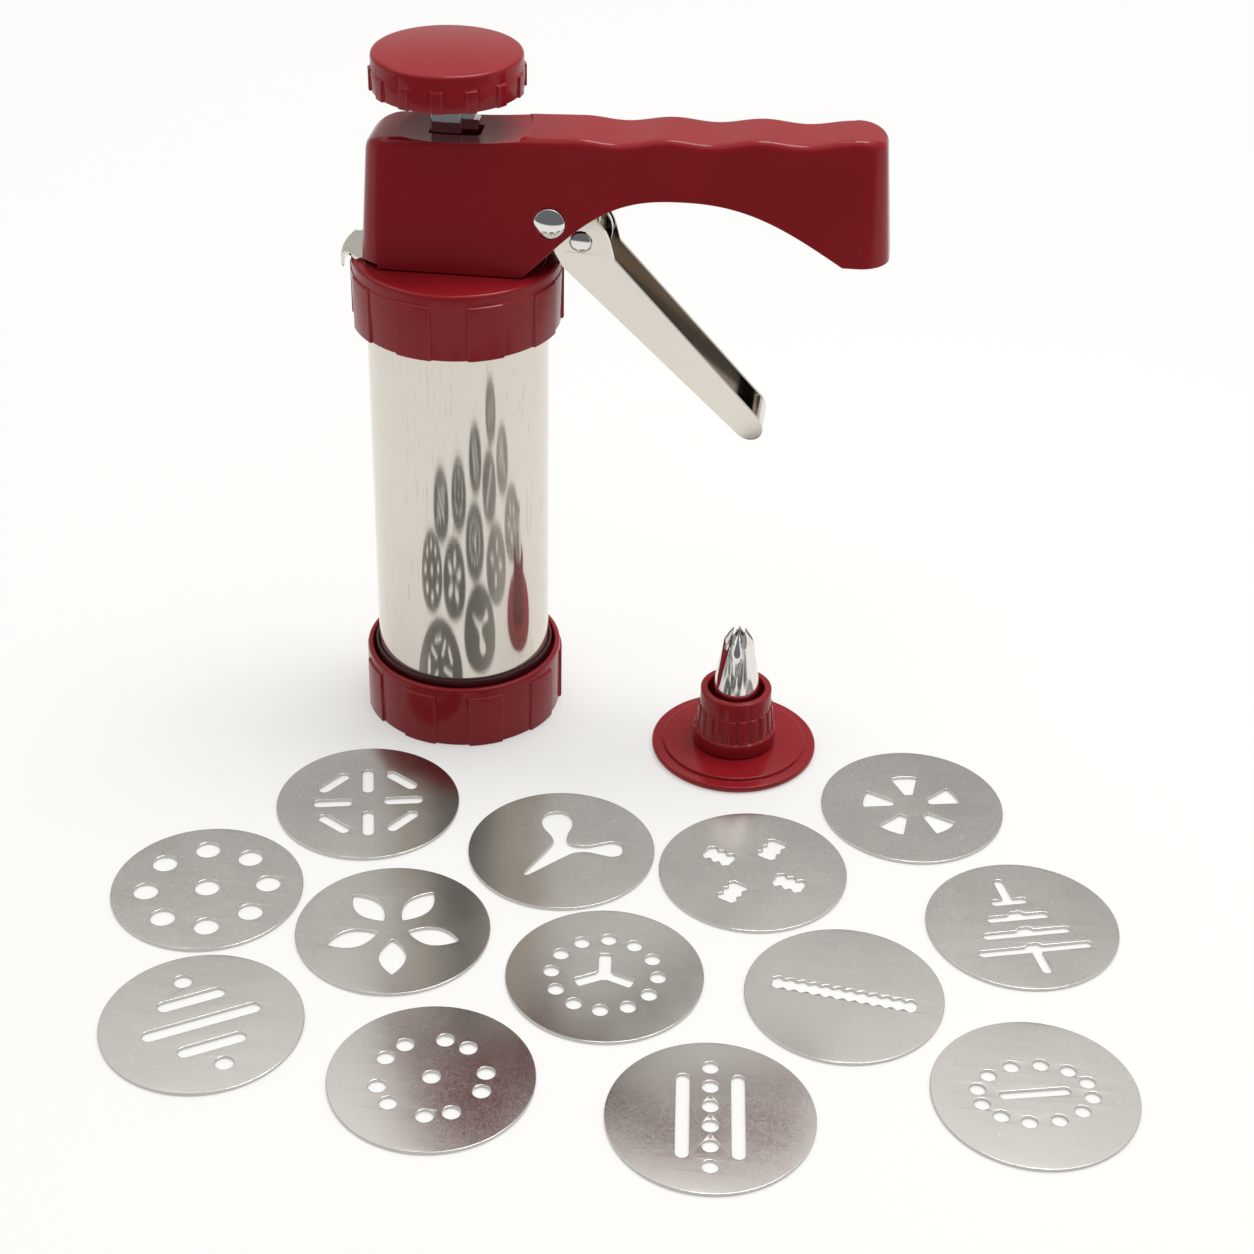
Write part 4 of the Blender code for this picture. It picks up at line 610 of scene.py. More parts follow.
@dataclass
class Effects:
    """The node groups that the finishes share, each made once."""

    made: dict[str, bpy.types.NodeTree] = field(default_factory=dict)

    @staticmethod
    def group(name: str, inputs: dict[str, object], outputs: Sequence[str]) -> tuple[Graph, dict, dict]:
        """Starts a shader node group.

        Args:
            name: the group's name.
            inputs: its inputs with their usual values; a value of three numbers makes a vector.
            outputs: its outputs, all plain values.

        Returns:
            Its graph, its inputs' sockets by name and its outputs' sockets by name.
        """
        tree = bpy.data.node_groups.new(name, "ShaderNodeTree")
        for key, value in inputs.items():
            kind = "NodeSocketVector" if isinstance(value, tuple) else "NodeSocketFloat"
            tree.interface.new_socket(key, in_out="INPUT", socket_type=kind).default_value = value
        for key in outputs:
            tree.interface.new_socket(key, in_out="OUTPUT", socket_type="NodeSocketFloat")
        graph = Graph(tree)
        source, sink = graph.add("NodeGroupInput"), graph.add("NodeGroupOutput")
        return graph, dict(source.outputs.items()), dict(sink.inputs.items())

    def grain(self) -> None:
        """Makes the fine grain, which can be drawn out along an axis, and slow clouds."""
        usual = {"Place": (0.0, 0.0, 0.0), "Stretch": (1.0, 1.0, 1.0), "Scale": 900.0, "Cloud Scale": 30.0}
        graph, given, wanted = self.group("fine grain", usual, ("Fine", "Cloud"))
        drawn = graph.add("ShaderNodeVectorMath", {"operation": "MULTIPLY"})
        graph.feed(drawn.inputs[0], given["Place"])
        graph.feed(drawn.inputs[1], given["Stretch"])
        fine = graph.add("ShaderNodeTexNoise", Vector=drawn.outputs[0], Scale=given["Scale"], Detail=4.0)
        cloud = graph.add("ShaderNodeTexNoise", Vector=given["Place"], Scale=given["Cloud Scale"], Detail=3.0)
        graph.feed(wanted["Fine"], graph.spread(fine.outputs[0], 0.25, 0.75, 0.0, 1.0))
        graph.feed(wanted["Cloud"], graph.spread(cloud.outputs[0], 0.3, 0.7, 0.0, 1.0))
        self.made["grain"] = graph.tree

    def scratches(self) -> None:
        """Makes long hairlines in two crossing directions, and short curled ones."""
        usual = {"Place": (0.0, 0.0, 0.0), "Along": 60.0, "Across": 3500.0, "Turn": 0.5, "Curl Scale": 500.0}
        graph, given, wanted = self.group("scratches", usual, ("Hairlines", "Curls"))
        lines = []
        for sign in (1.0, -1.7):
            turn = graph.add("ShaderNodeCombineXYZ")
            for index, share in enumerate((0.37, 0.21, 1.0)):
                graph.feed(turn.inputs[index], graph.maths("MULTIPLY", given["Turn"], sign * share))
            size = graph.add("ShaderNodeCombineXYZ")
            for index, key in enumerate(("Along", "Across", "Across")):
                graph.feed(size.inputs[index], given[key])
            laid = graph.add(
                "ShaderNodeMapping", Vector=given["Place"], Rotation=turn.outputs[0], Scale=size.outputs[0]
            )
            noise = graph.add("ShaderNodeTexNoise", Vector=laid.outputs[0], Scale=1.0, Detail=1.0)
            lines.append(graph.spread(noise.outputs[0], 0.66, 0.74, 0.0, 1.0))
        graph.feed(wanted["Hairlines"], graph.maths("MAXIMUM", *lines))
        bent = graph.add("ShaderNodeTexNoise", Vector=given["Place"], Scale=given["Curl Scale"], Detail=1.5)
        coarse = graph.maths("MULTIPLY", given["Curl Scale"], 0.6)
        patch = graph.add("ShaderNodeTexNoise", Vector=given["Place"], Scale=coarse)
        near = graph.maths("ABSOLUTE", graph.maths("SUBTRACT", bent.outputs[0], 0.5))
        thin = graph.spread(near, 0.0, 0.014, 1.0, 0.0)
        where = graph.spread(patch.outputs[0], 0.48, 0.58, 0.0, 1.0)
        graph.feed(wanted["Curls"], graph.maths("MULTIPLY", thin, where))
        self.made["scratches"] = graph.tree

    def edges(self) -> None:
        """Makes the mask of sharp edges, where a finish gets a painted highlight: a lighter colour that
        stands in for the light their rounding catches.
        """
        graph, given, wanted = self.group("painted edge highlight", {"Reach": 0.0004, "Gain": 4.0}, ("Edge",))
        rounded = graph.add("ShaderNodeBevel", {"samples": 6}, Radius=given["Reach"])
        plain = graph.add("ShaderNodeNewGeometry")
        facing = graph.add("ShaderNodeVectorMath", {"operation": "DOT_PRODUCT"})
        graph.feed(facing.inputs[0], rounded.outputs[0])
        graph.feed(facing.inputs[1], plain.outputs["Normal"])
        bend = graph.maths("MULTIPLY", graph.maths("SUBTRACT", 1.0, facing.outputs["Value"]), given["Gain"])
        graph.feed(wanted["Edge"], graph.spread(bend, 0.05, 0.6, 0.0, 1.0))
        self.made["edges"] = graph.tree

    def build(self) -> "Effects":
        """Makes every group.

        Returns:
            Itself.
        """
        self.grain()
        self.scratches()
        self.edges()
        return self

    def use(self, graph: Graph, name: str, **inputs) -> bpy.types.Node:
        """Places a group in a material.

        Args:
            graph: the material's graph.
            name: the group's short name.
            inputs: its values, with _ for a space.

        Returns:
            The group's node.
        """
        node = graph.tree.nodes.new("ShaderNodeGroup")
        node.node_tree = self.made[name]
        for key, value in inputs.items():
            graph.feed(node.inputs[key.replace("_", " ")], value)
        return node


@dataclass(frozen=True)
class Finish:
    """A finish of one material slot, on the Principled shader."""

    slot: Slot
    colour: Shade
    roughness: float
    metallic: float = 0.0
    specular: float = 0.5
    tint: Shade = (0.88, 0.88, 0.88)
    swing: float = 0.02
    grain: float = 0.03
    scale: float = 1200.0
    stretch: Shade = (1.0, 1.0, 1.0)
    fleck: float = 0.03
    along: float = 60.0
    across: float = 3500.0
    turn: float = 0.5
    hair: float = 0.15
    curl: float = 0.0
    curl_scale: float = 500.0
    mark: Shade = (0.9, 0.9, 0.9)
    mark_rough: float = 0.08
    # edge, highlight_share and reach: colour, strength and width of the painted highlight on sharp edges.
    edge: Shade = (1.1, 1.1, 1.1)
    highlight_share: float = 0.5
    reach: float = 0.00035
    bump: float = 0.000002

    def build(self, effects: Effects) -> bpy.types.Material:
        """Makes the material.

        Args:
            effects: the shared node groups.

        Returns:
            The material.
        """
        made = bpy.data.materials.new(self.slot.value)
        made.use_nodes = True
        graph = Graph(made.node_tree)
        shader = made.node_tree.nodes["Principled BSDF"]
        place = graph.add("ShaderNodeTexCoord").outputs["Object"]
        grain = effects.use(graph, "grain", Place=place, Stretch=self.stretch, Scale=self.scale)
        marks = effects.use(
            graph, "scratches", Place=place, Along=self.along, Across=self.across, Turn=self.turn,
            Curl_Scale=self.curl_scale,
        )
        # The edges group's mask places the painted edge highlight.
        edges = effects.use(graph, "edges", Reach=self.reach)
        fine, cloud = grain.outputs["Fine"], grain.outputs["Cloud"]
        hairs = graph.maths("MULTIPLY", marks.outputs["Hairlines"], self.hair)
        curls = graph.maths("MULTIPLY", marks.outputs["Curls"], self.curl)
        scored = graph.maths("MAXIMUM", hairs, curls)

        plain = (*self.colour, 1.0)
        deeper = (*(c * t for c, t in zip(self.colour, self.tint)), 1.0)
        flecked = (*(c * (1 - 3 * self.fleck) for c in self.colour), 1.0)
        worn = (*(min(1.0, c * m) for c, m in zip(self.colour, self.mark)), 1.0)
        colour = graph.mixed(cloud, deeper, plain)
        colour = graph.mixed(graph.spread(fine, 0.55, 0.2, 0.0, 0.34), colour, flecked)
        colour = graph.mixed(scored, colour, worn)
        # Sharp edges are mixed towards the edge colour: a painted highlight.
        share = graph.maths("MULTIPLY", edges.outputs["Edge"], self.highlight_share)
        graph.feed(shader.inputs["Base Color"], graph.mixed(share, colour, (*self.edge, 1.0)))

        rough = graph.maths("ADD", graph.spread(cloud, 0.0, 1.0, -self.swing, self.swing), self.roughness)
        rough = graph.maths("ADD", rough, graph.spread(fine, 0.0, 1.0, -self.grain, self.grain))
        rough = graph.maths("ADD", rough, graph.maths("MULTIPLY", scored, self.mark_rough))
        graph.feed(shader.inputs["Roughness"], graph.maths("MAXIMUM", rough, 0.02))
        shader.inputs["Metallic"].default_value = self.metallic
        shader.inputs["Specular IOR Level"].default_value = self.specular
        height = graph.maths("SUBTRACT", fine, scored)
        bump = graph.add("ShaderNodeBump", Height=height, Distance=self.bump, Strength=1.0)
        graph.feed(shader.inputs["Normal"], bump.outputs[0])
        return made


@dataclass
class Finishes:
    """Makes each finish once and hands it out."""

    made: dict[Slot, bpy.types.Material] = field(default_factory=dict)

    def build(self) -> "Finishes":
        """Makes every finish.

        Returns:
            Itself.
        """
        effects = Effects().build()
        # Each finish's edge colour is the painted highlight on its sharp edges, lighter than the finish
        # itself.
        for finish in (
            Finish(
                Slot.RED, (0.250, 0.010, 0.015), 0.17, specular=0.22, tint=(0.93, 0.9, 0.9), hair=0.10,
                mark=(1.25, 1.8, 1.8), edge=(0.70, 0.080, 0.105), highlight_share=0.75, fleck=0.01, grain=0.015,
            ),
            Finish(
                Slot.DARK_RED, (0.060, 0.005, 0.008), 0.36, specular=0.3, mark=(1.3, 1.5, 1.5),
                edge=(0.16, 0.02, 0.03), highlight_share=0.4,
            ),
            Finish(
                Slot.BARREL, (0.73, 0.685, 0.62), 0.075, metallic=0.86, tint=(0.97, 0.965, 0.96), swing=0.01,
                scale=110.0, stretch=(1.0, 1.0, 40.0), grain=0.02, fleck=0.02, along=3300.0, across=90.0,
                turn=0.0, hair=0.6, mark=(0.70, 0.68, 0.65), mark_rough=0.10, edge=(0.95, 0.94, 0.92),
                bump=0.0000008,
            ),
            Finish(
                Slot.DISC, (0.550, 0.530, 0.505), 0.20, metallic=1.0, tint=(0.94, 0.94, 0.94), swing=0.025,
                scale=2600.0, grain=0.05, fleck=0.05, hair=0.10, curl=0.30, curl_scale=420.0,
                mark=(1.35, 1.35, 1.35), mark_rough=0.12, edge=(0.95, 0.94, 0.93), highlight_share=0.7,
                bump=0.0000012,
            ),
            Finish(
                Slot.TRIGGER, (0.76, 0.71, 0.65), 0.085, metallic=1.0, tint=(0.94, 0.94, 0.94), grain=0.01,
                hair=0.12, curl=0.03, mark=(0.86, 0.86, 0.86), edge=(0.95, 0.93, 0.90), highlight_share=0.7,
                bump=0.0000006,
            ),
            Finish(
                Slot.BRIGHT, (0.84, 0.82, 0.79), 0.07, metallic=1.0, grain=0.01, hair=0.15,
                mark=(0.8, 0.8, 0.8), edge=(0.97, 0.96, 0.95), highlight_share=0.7, bump=0.0000008,
            ),
            Finish(
                Slot.HARDWARE, (0.60, 0.59, 0.58), 0.30, metallic=1.0, hair=0.25, curl=0.1,
                edge=(0.85, 0.85, 0.84), highlight_share=0.6,
            ),
            Finish(
                Slot.RUBBER, (0.028, 0.028, 0.030), 0.68, hair=0.05, mark=(2.0, 2.0, 2.0),
                edge=(0.06, 0.06, 0.065), bump=0.000008,
            ),
        ):
            self.made[finish.slot] = finish.build(effects)
        return self

    def of(self, look: Slot) -> bpy.types.Material:
        """The material of a slot."""
        return self.made[look]


# Pieces


@dataclass
class Assembly:
    """A sub-assembly: makes its pieces, gives each its finish and lets it ride on its body."""

    finishes: "Finishes"
    made: list[bpy.types.Object] = field(default_factory=list)

    def place(
        self, piece: bpy.types.Object, body: str, node: str, look: Slot, sharp: float = 35,
        at: Flat = (0, 0), weighted: bool = False,
    ) -> bpy.types.Object:
        """Moves a piece from the press's frame to the model's, shades it and ties it to the CAD.

        Args:
            piece: the piece, made round the press's axis.
            body: the CAD body it rides on.
            node: the CAD node it stands for.
            look: the material slot of its finish.
            sharp: edges that bend more than this many degrees stay sharp.
            at: where the piece's own origin lies, from the press's axis.
            weighted: whether large faces keep their shading flat.

        Returns:
            The piece.
        """
        mesh = piece.data
        local = mesh.attributes.new("local", "FLOAT_VECTOR", "POINT")
        local.data.foreach_set("vector", [value for vertex in mesh.vertices for value in vertex.co])
        mesh.transform(Matrix.Translation(AXIS + Vector((at[0], at[1], 0))))
        mesh.name = piece.name
        mesh.shade_smooth()
        mesh.set_sharp_from_angle(angle=math.radians(sharp))
        mesh.materials.clear()
        mesh.materials.append(self.finishes.of(look))
        if weighted:
            modifier = piece.modifiers.new("Weights", "WEIGHTED_NORMAL")
            modifier.keep_sharp = True
            modifier.weight = 100
            Mould.bake(piece)
        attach(piece, body)
        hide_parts(node)
        self.made.append(piece)
        log.info("%s: %d faces on %s", piece.name, len(piece.data.polygons), body)
        return piece


@dataclass
class Rings(Assembly):
    """The foot ring and the top ring, with their grip panels."""

    radius: float = 0.0299
    panel: float = 0.0007
    rim: float = 0.0283
    corner: float = 0.0008

    def build(self) -> None:
        """Makes both rings."""
        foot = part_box("bottom_ring")[1].z
        lip, mouth = 0.0022, 0.0240

        def foot_profile(level: float) -> Outline:
            outer = self.radius + self.panel * level
            return filleted(
                [
                    (self.rim, foot, 0.0004), (self.radius + 0.0001, foot, 0.0010),
                    (self.radius, foot - 0.0028, 0.0006), (outer, foot - 0.0032, 0.0003),
                    (outer, 0, 0.0006), (mouth, 0, 0.0003), (mouth, lip, 0.0003), (self.rim, lip, 0),
                ],
                4,
            )

        foot_ring = Mould.ribbed("foot_ring_fine", foot_profile, 9, -107.2, 20.2, 0.7, 12)
        self.place(foot_ring, "foot_ring", "bottom_ring", Slot.RED)

        low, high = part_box("top_ring")
        inner = 0.0263

        def top_profile(level: float) -> Outline:
            outer = self.radius + self.panel * level
            return filleted(
                [
                    (inner, high.z, 0.0003), (self.radius + 0.0001, high.z, 0.0010),
                    (self.radius, high.z - 0.0034, 0.0006), (outer, high.z - 0.0038, 0.0003),
                    (outer, low.z, 0.0006), (self.rim, low.z, 0.0003), (self.rim, high.z - 0.0030, 0),
                    (inner, high.z - 0.0030, 0),
                ],
                4,
            )

        top_ring = Mould.ribbed("top_ring_fine", top_profile, 9, -104.0, 20.2, 0.7, 12)
        self.place(top_ring, "clamp_ring", "top_ring", Slot.RED)


@dataclass
class Body(Assembly):
    """The barrel, its two threaded collars and the flange under the handle."""

    wall: float = 0.0008

    def collar(self, name: str, node: str) -> None:
        """Makes a collar with a trapezoid thread in its middle.

        Args:
            name: the piece's name.
            node: the CAD node it stands for.
        """
        low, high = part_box(node)
        inner, plain, crest = BARREL_RADIUS + GAP, 0.0273, 0.0279
        middle, turns, pitch = (low.z + high.z) / 2, 4, 0.0020
        corners = [(inner, high.z, 0.0002), (plain, high.z, 0.0004)]
        for k in range(turns):
            top = middle + pitch * (turns / 2 - k)
            corners += [(plain, top, 0.0001), (crest, top - pitch * 0.3, 0.0001)]
            corners += [(crest, top - pitch * 0.6, 0.0001), (plain, top - pitch * 0.9, 0.0001)]
        corners += [(plain, low.z, 0.0004), (inner, low.z, 0.0002)]
        made = Mould.turned(name, filleted(corners, 3), 180)
        self.place(made, "press_body", node, Slot.DARK_RED)

    def build(self) -> None:
        """Makes the four pieces."""
        low, high = BARREL_LOW.z, BARREL_HIGH.z
        inner = BARREL_RADIUS - self.wall
        edge = 0.0002
        outer = BARREL_RADIUS
        corners = [(inner, high, edge), (outer, high, edge), (outer, low, edge), (inner, low, edge)]
        tube = Mould.turned("barrel_fine", filleted(corners, 3), 288)
        self.place(tube, "press_body", "barrel", Slot.BARREL, weighted=True)
        self.collar("lower_collar_fine", "lower_collar")
        self.collar("upper_collar_fine", "upper_collar")

        bottom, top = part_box("base_flange")
        shoulder, boss = top.z - 0.0050, top.z - 0.0028
        spigot, hollow = inner - GAP, inner - GAP - 0.0018
        profile = filleted(
            [
                (0, top.z, 0), (0.0260, top.z, 0.0004), (0.0260, boss, 0), (0.0274, boss, 0.0003),
                (0.0274, shoulder, 0.0003), (spigot, shoulder, 0), (spigot, bottom.z, 0.0003),
                (hollow, bottom.z, 0.0003), (hollow, shoulder, 0), (0, shoulder, 0),
            ],
            3, closed=False,
        )
        flange = Mould.turned("base_flange_fine", profile, 180)
        half = 0.0039
        Mould.cut(flange, Mould.block("flange_way", (-0.0063, -half, 0.13), (0.0077, half, 0.17)))
        for x in (-0.0130, 0.01352):
            for y in (-0.0104, 0.0104):
                Mould.cut(flange, Mould.rod("flange_hole", 0.0016, (x, y, 0.13), (x, y, 0.17), 24))
        self.place(flange, "press_body", "base_flange", Slot.RED, weighted=True)


@dataclass
class Handle(Assembly):
    """The housing and the grip in one moulding, hollow inside. Rises are above its underside."""

    nose: float = -0.0256
    nose_round: float = 0.0080
    nose_lean: float = 0.045
    nose_top_round: float = 0.0045
    end: float = 0.1222
    end_round: float = 0.0085
    end_top_share: float = 0.78
    end_lean: float = -0.085
    end_top_round: float = 0.0036
    edge: float = 0.0023
    low_edge: float = 0.0004
    wave_start: float = 0.0349
    wave_length: float = 0.0250
    wave_depth: float = 0.0013
    dish_radius: float = 0.0206
    dish_depth: float = 0.0014
    dish_x: float = -0.0016
    foot_x: float = 0.1096
    foot_rise: float = 0.0089
    pivot: Flat = (0.0286, 0.0164)
    bottom: float = 0.1513

    def top(self, x: float) -> float:
        """The plain top's rise."""
        return 0.0373 + 0.053 * (x + 0.0170)

    def half(self, x: float, rise: float) -> float:
        """Half the handle's width."""
        return 0.0116 - 0.019 * (x + 0.0170) + 0.098 * (self.top(x) - rise)

    def wave(self, x: float) -> float:
        """How far the finger waves lower the top.

        Args:
            x: place along the handle.

        Returns:
            The depth there.
        """
        if not self.wave_start < x < self.wave_start + 3 * self.wave_length:
            return 0
        turn = 2 * math.pi * (x - self.wave_start) / self.wave_length
        return self.wave_depth * (1 - math.cos(turn)) / 2

    def dish(self) -> bpy.types.Object:
        """The shallow round hollow under the knob.

        Returns:
            The body to cut away.
        """
        bowl = (self.dish_radius**2 + self.dish_depth**2) / (2 * self.dish_depth)
        reach = self.dish_radius + 0.003
        rim = self.bottom + self.top(self.dish_x)
        profile = [(0, rim + 0.01), (reach, rim + 0.01)]
        for k in range(31):
            out = reach * (1 - k / 30)
            profile.append((out, rim - self.dish_depth + bowl - math.sqrt(bowl**2 - out**2)))
        made = Mould.turned("dish", profile, 144)
        made.data.transform(Matrix.Translation((self.dish_x, 0, 0)))
        return made

    def section(
        self, x: float, low: float, inset: float = 0, lean: float = 0, drop: float = 0, top_share: float = 1
    ) -> Section:
        """One loop of the outer shell, from the near lower edge over the top to the far one.

        Args:
            x: place along the handle.
            low: rise of its underside.
            inset: how much narrower each side is.
            lean: how far it leans along X for each unit of rise.
            drop: how far the top is lowered.
            top_share: how much of the inset the top has.

        Returns:
            The loop's points.
        """
        crown = self.top(x) - self.wave(x) - drop
        side_low = self.half(x, low) - inset
        side_high = self.half(x, crown) - inset * top_share
        edge = min(self.edge, side_high * 0.9)
        near: list[Flat] = []
        for k in range(5):
            angle = math.pi / 2 * k / 4
            reach = self.low_edge
            out = side_low - reach + reach * math.sin(angle)
            near.append((-out, low + reach - reach * math.cos(angle)))
        for k in range(1, 8):
            rise = low + self.low_edge + (crown - edge - low - self.low_edge) * k / 8
            near.append((-(side_low + (side_high - side_low) * k / 8), rise))
        for k in range(9):
            angle = math.pi / 2 * k / 8
            reach = -(side_high - edge + edge * math.cos(angle))
            near.append((reach, crown - edge + edge * math.sin(angle)))
        whole = near + [(0, crown)] + [(-y, rise) for y, rise in reversed(near)]
        return [(x + lean * rise, y, self.bottom + rise) for y, rise in whole]

    def underside(self) -> Outline:
        """The lower edge from the housing to the foot, as (x, rise) points.

        Returns:
            The points, closely spaced.
        """
        start, bend, crest = (0.0211, 0), (0.0303, 0.0092), (0.0665, 0.02455)
        foot = (self.foot_x, self.foot_rise)
        left = 0.38 * (crest[0] - bend[0])
        right = 0.38 * (foot[0] - crest[0])
        line = [start] + [(start[0] + 0.0092 * k / 10, 0.0092 * k / 10) for k in range(1, 11)]
        line += bezier([bend, (bend[0] + left, bend[1] + left), (crest[0] - left, crest[1]), crest], 40)
        pulls = [(crest[0] + right, crest[1]), (foot[0] - right, foot[1] + 0.62 * right)]
        line += bezier([crest, *pulls, foot], 44)
        return line

    def shell(self) -> bpy.types.Object:
        """The outer form, solid.

        Returns:
            The body.
        """
        sections = []
        steps = 12
        for k in range(steps + 1):
            angle = math.pi / 2 * k / steps
            run, inset = 1 - math.cos(angle), 1 - math.sin(angle)
            x = self.nose + self.nose_round * run
            sections.append(
                self.section(x, 0, self.nose_round * inset, self.nose_lean, self.nose_top_round * inset)
            )
        first = self.nose + self.nose_round
        count = 56
        for k in range(1, count):
            x = first + (0.0211 - first) * k / count
            lean = self.nose_lean * (1 - eased(k / 20))
            sections.append(self.section(x, 0, lean=lean))
        sections += [self.section(x, rise) for x, rise in self.underside()]
        for k in range(steps, -1, -1):
            angle = math.pi / 2 * k / steps
            run, inset = 1 - math.cos(angle), 1 - math.sin(angle)
            x = self.end - self.end_lean * self.foot_rise - self.end_round * run
            corner, drop = self.end_round * inset, self.end_top_round * inset
            sections.append(self.section(x, self.foot_rise, corner, self.end_lean, drop, self.end_top_share))
        for flip in (0, -1):
            loop = sections[flip]
            middle = Vector([sum(point[k] for point in loop) / len(loop) for k in range(3)])
            inside = [tuple(middle + (Vector(point) - middle) * 0.97) for point in loop]
            sections.insert(0 if flip == 0 else len(sections), inside)
        return Mould.loft("handle_fine", sections)

    def cavity(self) -> bpy.types.Object:
        """The hollow inside the moulding.

        Returns:
            The body to cut away.
        """
        wall, roof, below, corner = 0.0023, 0.0052, -0.003, 0.002

        def loop(x: float, inset: float, lean: float) -> Section:
            top = self.top(x) - roof
            low = self.half(x, below) - inset
            high = self.half(x, top) - inset
            corners = [(-low, below, 0), (-high, top, corner), (high, top, corner), (low, below, 0)]
            shape = filleted(corners, 4)
            return [(x + lean * rise, y, self.bottom + rise) for y, rise in shape]

        sections = []
        inside = self.nose_round - wall
        for k in range(7):
            angle = math.pi / 2 * k / 6
            x = self.nose + wall + inside * (1 - math.cos(angle))
            sections.append(loop(x, wall + inside * (1 - math.sin(angle)), self.nose_lean))
        sections += [loop(x, wall, 0) for x in (0.0211, self.foot_x - wall)]
        return Mould.loft("handle_hollow", sections)

    def build(self) -> None:
        """Makes the moulding."""
        shell = self.shell()
        Mould.cut(shell, self.cavity())
        x, rise = self.pivot
        z = self.bottom + rise
        face = self.half(x, rise) - 0.0005
        inner = 0.0078
        for side in (-1, 1):
            boss = Mould.rod("pin_boss", 0.0048, (x, side * inner, z), (x, side * (face - 0.0011), z))
            Mould.join(shell, boss)
            seat = Mould.rod("pin_seat", 0.0046, (x, side * face, z), (x, side * (face + 0.004), z), 64)
            Mould.cut(shell, seat)
        Mould.cut(shell, Mould.rod("pin_hole", 0.0023, (x, -0.02, z), (x, 0.02, z)))
        post = self.half(0.018, 0) - 0.0011
        low = self.bottom + GAP
        post_top = self.bottom + 0.0062
        Mould.join(shell, Mould.block("spring_post", (0.0180, -post, low), (0.0196, post, post_top)))
        boss_top, bore_top, bore_low = self.bottom + 0.014, self.bottom + 0.0092, 0.148
        for bx in (-0.0130, 0.01352):
            for by in (-0.0104, 0.0104):
                Mould.join(shell, Mould.rod("boss", 0.0030, (bx, by, low), (bx, by, boss_top), 32))
                Mould.cut(shell, Mould.rod("bore", 0.0016, (bx, by, bore_low), (bx, by, bore_top), 24))
        slot_top = self.bottom + 0.0015
        Mould.cut(shell, Mould.block("nose_slot", (-0.04, -0.02, 0.14), (-0.0197, 0.02, slot_top)))
        Mould.cut(shell, self.dish())
        way = window((-0.0066, -0.0042), (0.0080, 0.0042), 0.001, 5)
        Mould.cut(shell, Mould.plate("rod_way", [way], 0.170, 0.200))
        self.place(shell, "press_body", "handle_shell", Slot.RED, sharp=38, weighted=True)


@dataclass
class Plunger(Assembly):
    """The toothed rod and the knob on its top end."""

    rod_x: float = -0.0016
    knob_radius: float = 0.0210
    rib_out: float = 0.0007
    pitch: float = 0.0080

    def rod(self) -> None:
        """Makes the rod, whose teeth are repeated by geometry nodes."""
        low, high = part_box("piston_rod")
        left, right, half = self.rod_x - 0.0043, self.rod_x + 0.0043, 0.0035
        shaft = Mould.block("rod_fine", (left, -half, low.z), (right, half, high.z))
        Mould.edged(shaft, 0.0004)
        back, tip, thick = right + 0.0032, right + 0.0046, 0.0018
        top = 0.2000
        count = 20
        tooth = Mould.side_plate(
            "tooth",
            [
                filleted(
                    [
                        (self.rod_x, 0, 0), (back, 0, 0.0002), (tip, self.pitch - 0.0014, 0.0004),
                        (tip, self.pitch, 0.0003), (self.rod_x, self.pitch, 0),
                    ],
                    4,
                )
            ],
            -thick, thick,
        )
        rows = Rows("rack", tooth, self.finishes.of(Slot.BRIGHT))
        rack = rows.along((0, 0, top - count * self.pitch), (0, 0, self.pitch), count)
        bore_low, bore_top = (self.rod_x, 0, low.z - 0.003), (self.rod_x, 0, 0.0326)
        Mould.cut(shaft, Mould.rod("rod_bore", 0.0021, bore_low, bore_top, 24))
        Mould.gather(shaft, rack)
        self.place(shaft, "plunger", "piston_rod", Slot.BRIGHT, sharp=30, weighted=True)

    def build(self) -> None:
        """Makes both pieces."""
        self.rod()
        low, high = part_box("knob")
        edge = high.z - 0.0012
        ceiling = edge - 0.0018
        radius = self.knob_radius

        def profile(level: float) -> Outline:
            outer = radius + self.rib_out * level
            rib_top = low.z + 0.0063
            dome = [((radius - 0.001) * k / 12, edge + 0.0012 * (1 - (k / 12) ** 2), 0) for k in range(12)]
            return filleted(
                dome
                + [
                    (radius, edge, 0.0011), (radius, rib_top, 0), (outer, rib_top - 0.0003, 0.0002),
                    (outer, low.z, 0.0004), (radius - 0.0018, low.z, 0.0004),
                    (radius - 0.0018, ceiling, 0.0005), (0.0080, ceiling, 0.0005), (0.0080, low.z, 0.0003),
                    (0, low.z, 0),
                ],
                4, closed=False,
            )

        width = math.degrees(0.00315 / radius)
        knob = Mould.ribbed("knob_fine", profile, 14, -87.4, width, 1.0, 6)
        pocket = (0.0046, 0.0038)
        sides = [(-pocket[0], -pocket[1], low.z - 0.003), (*pocket, low.z + 0.0055)]
        Mould.cut(knob, Mould.block("knob_pocket", *sides))
        knob.data.transform(Matrix.Translation((self.rod_x, 0, 0)))
        self.place(knob, "plunger", "knob", Slot.RED, sharp=40)


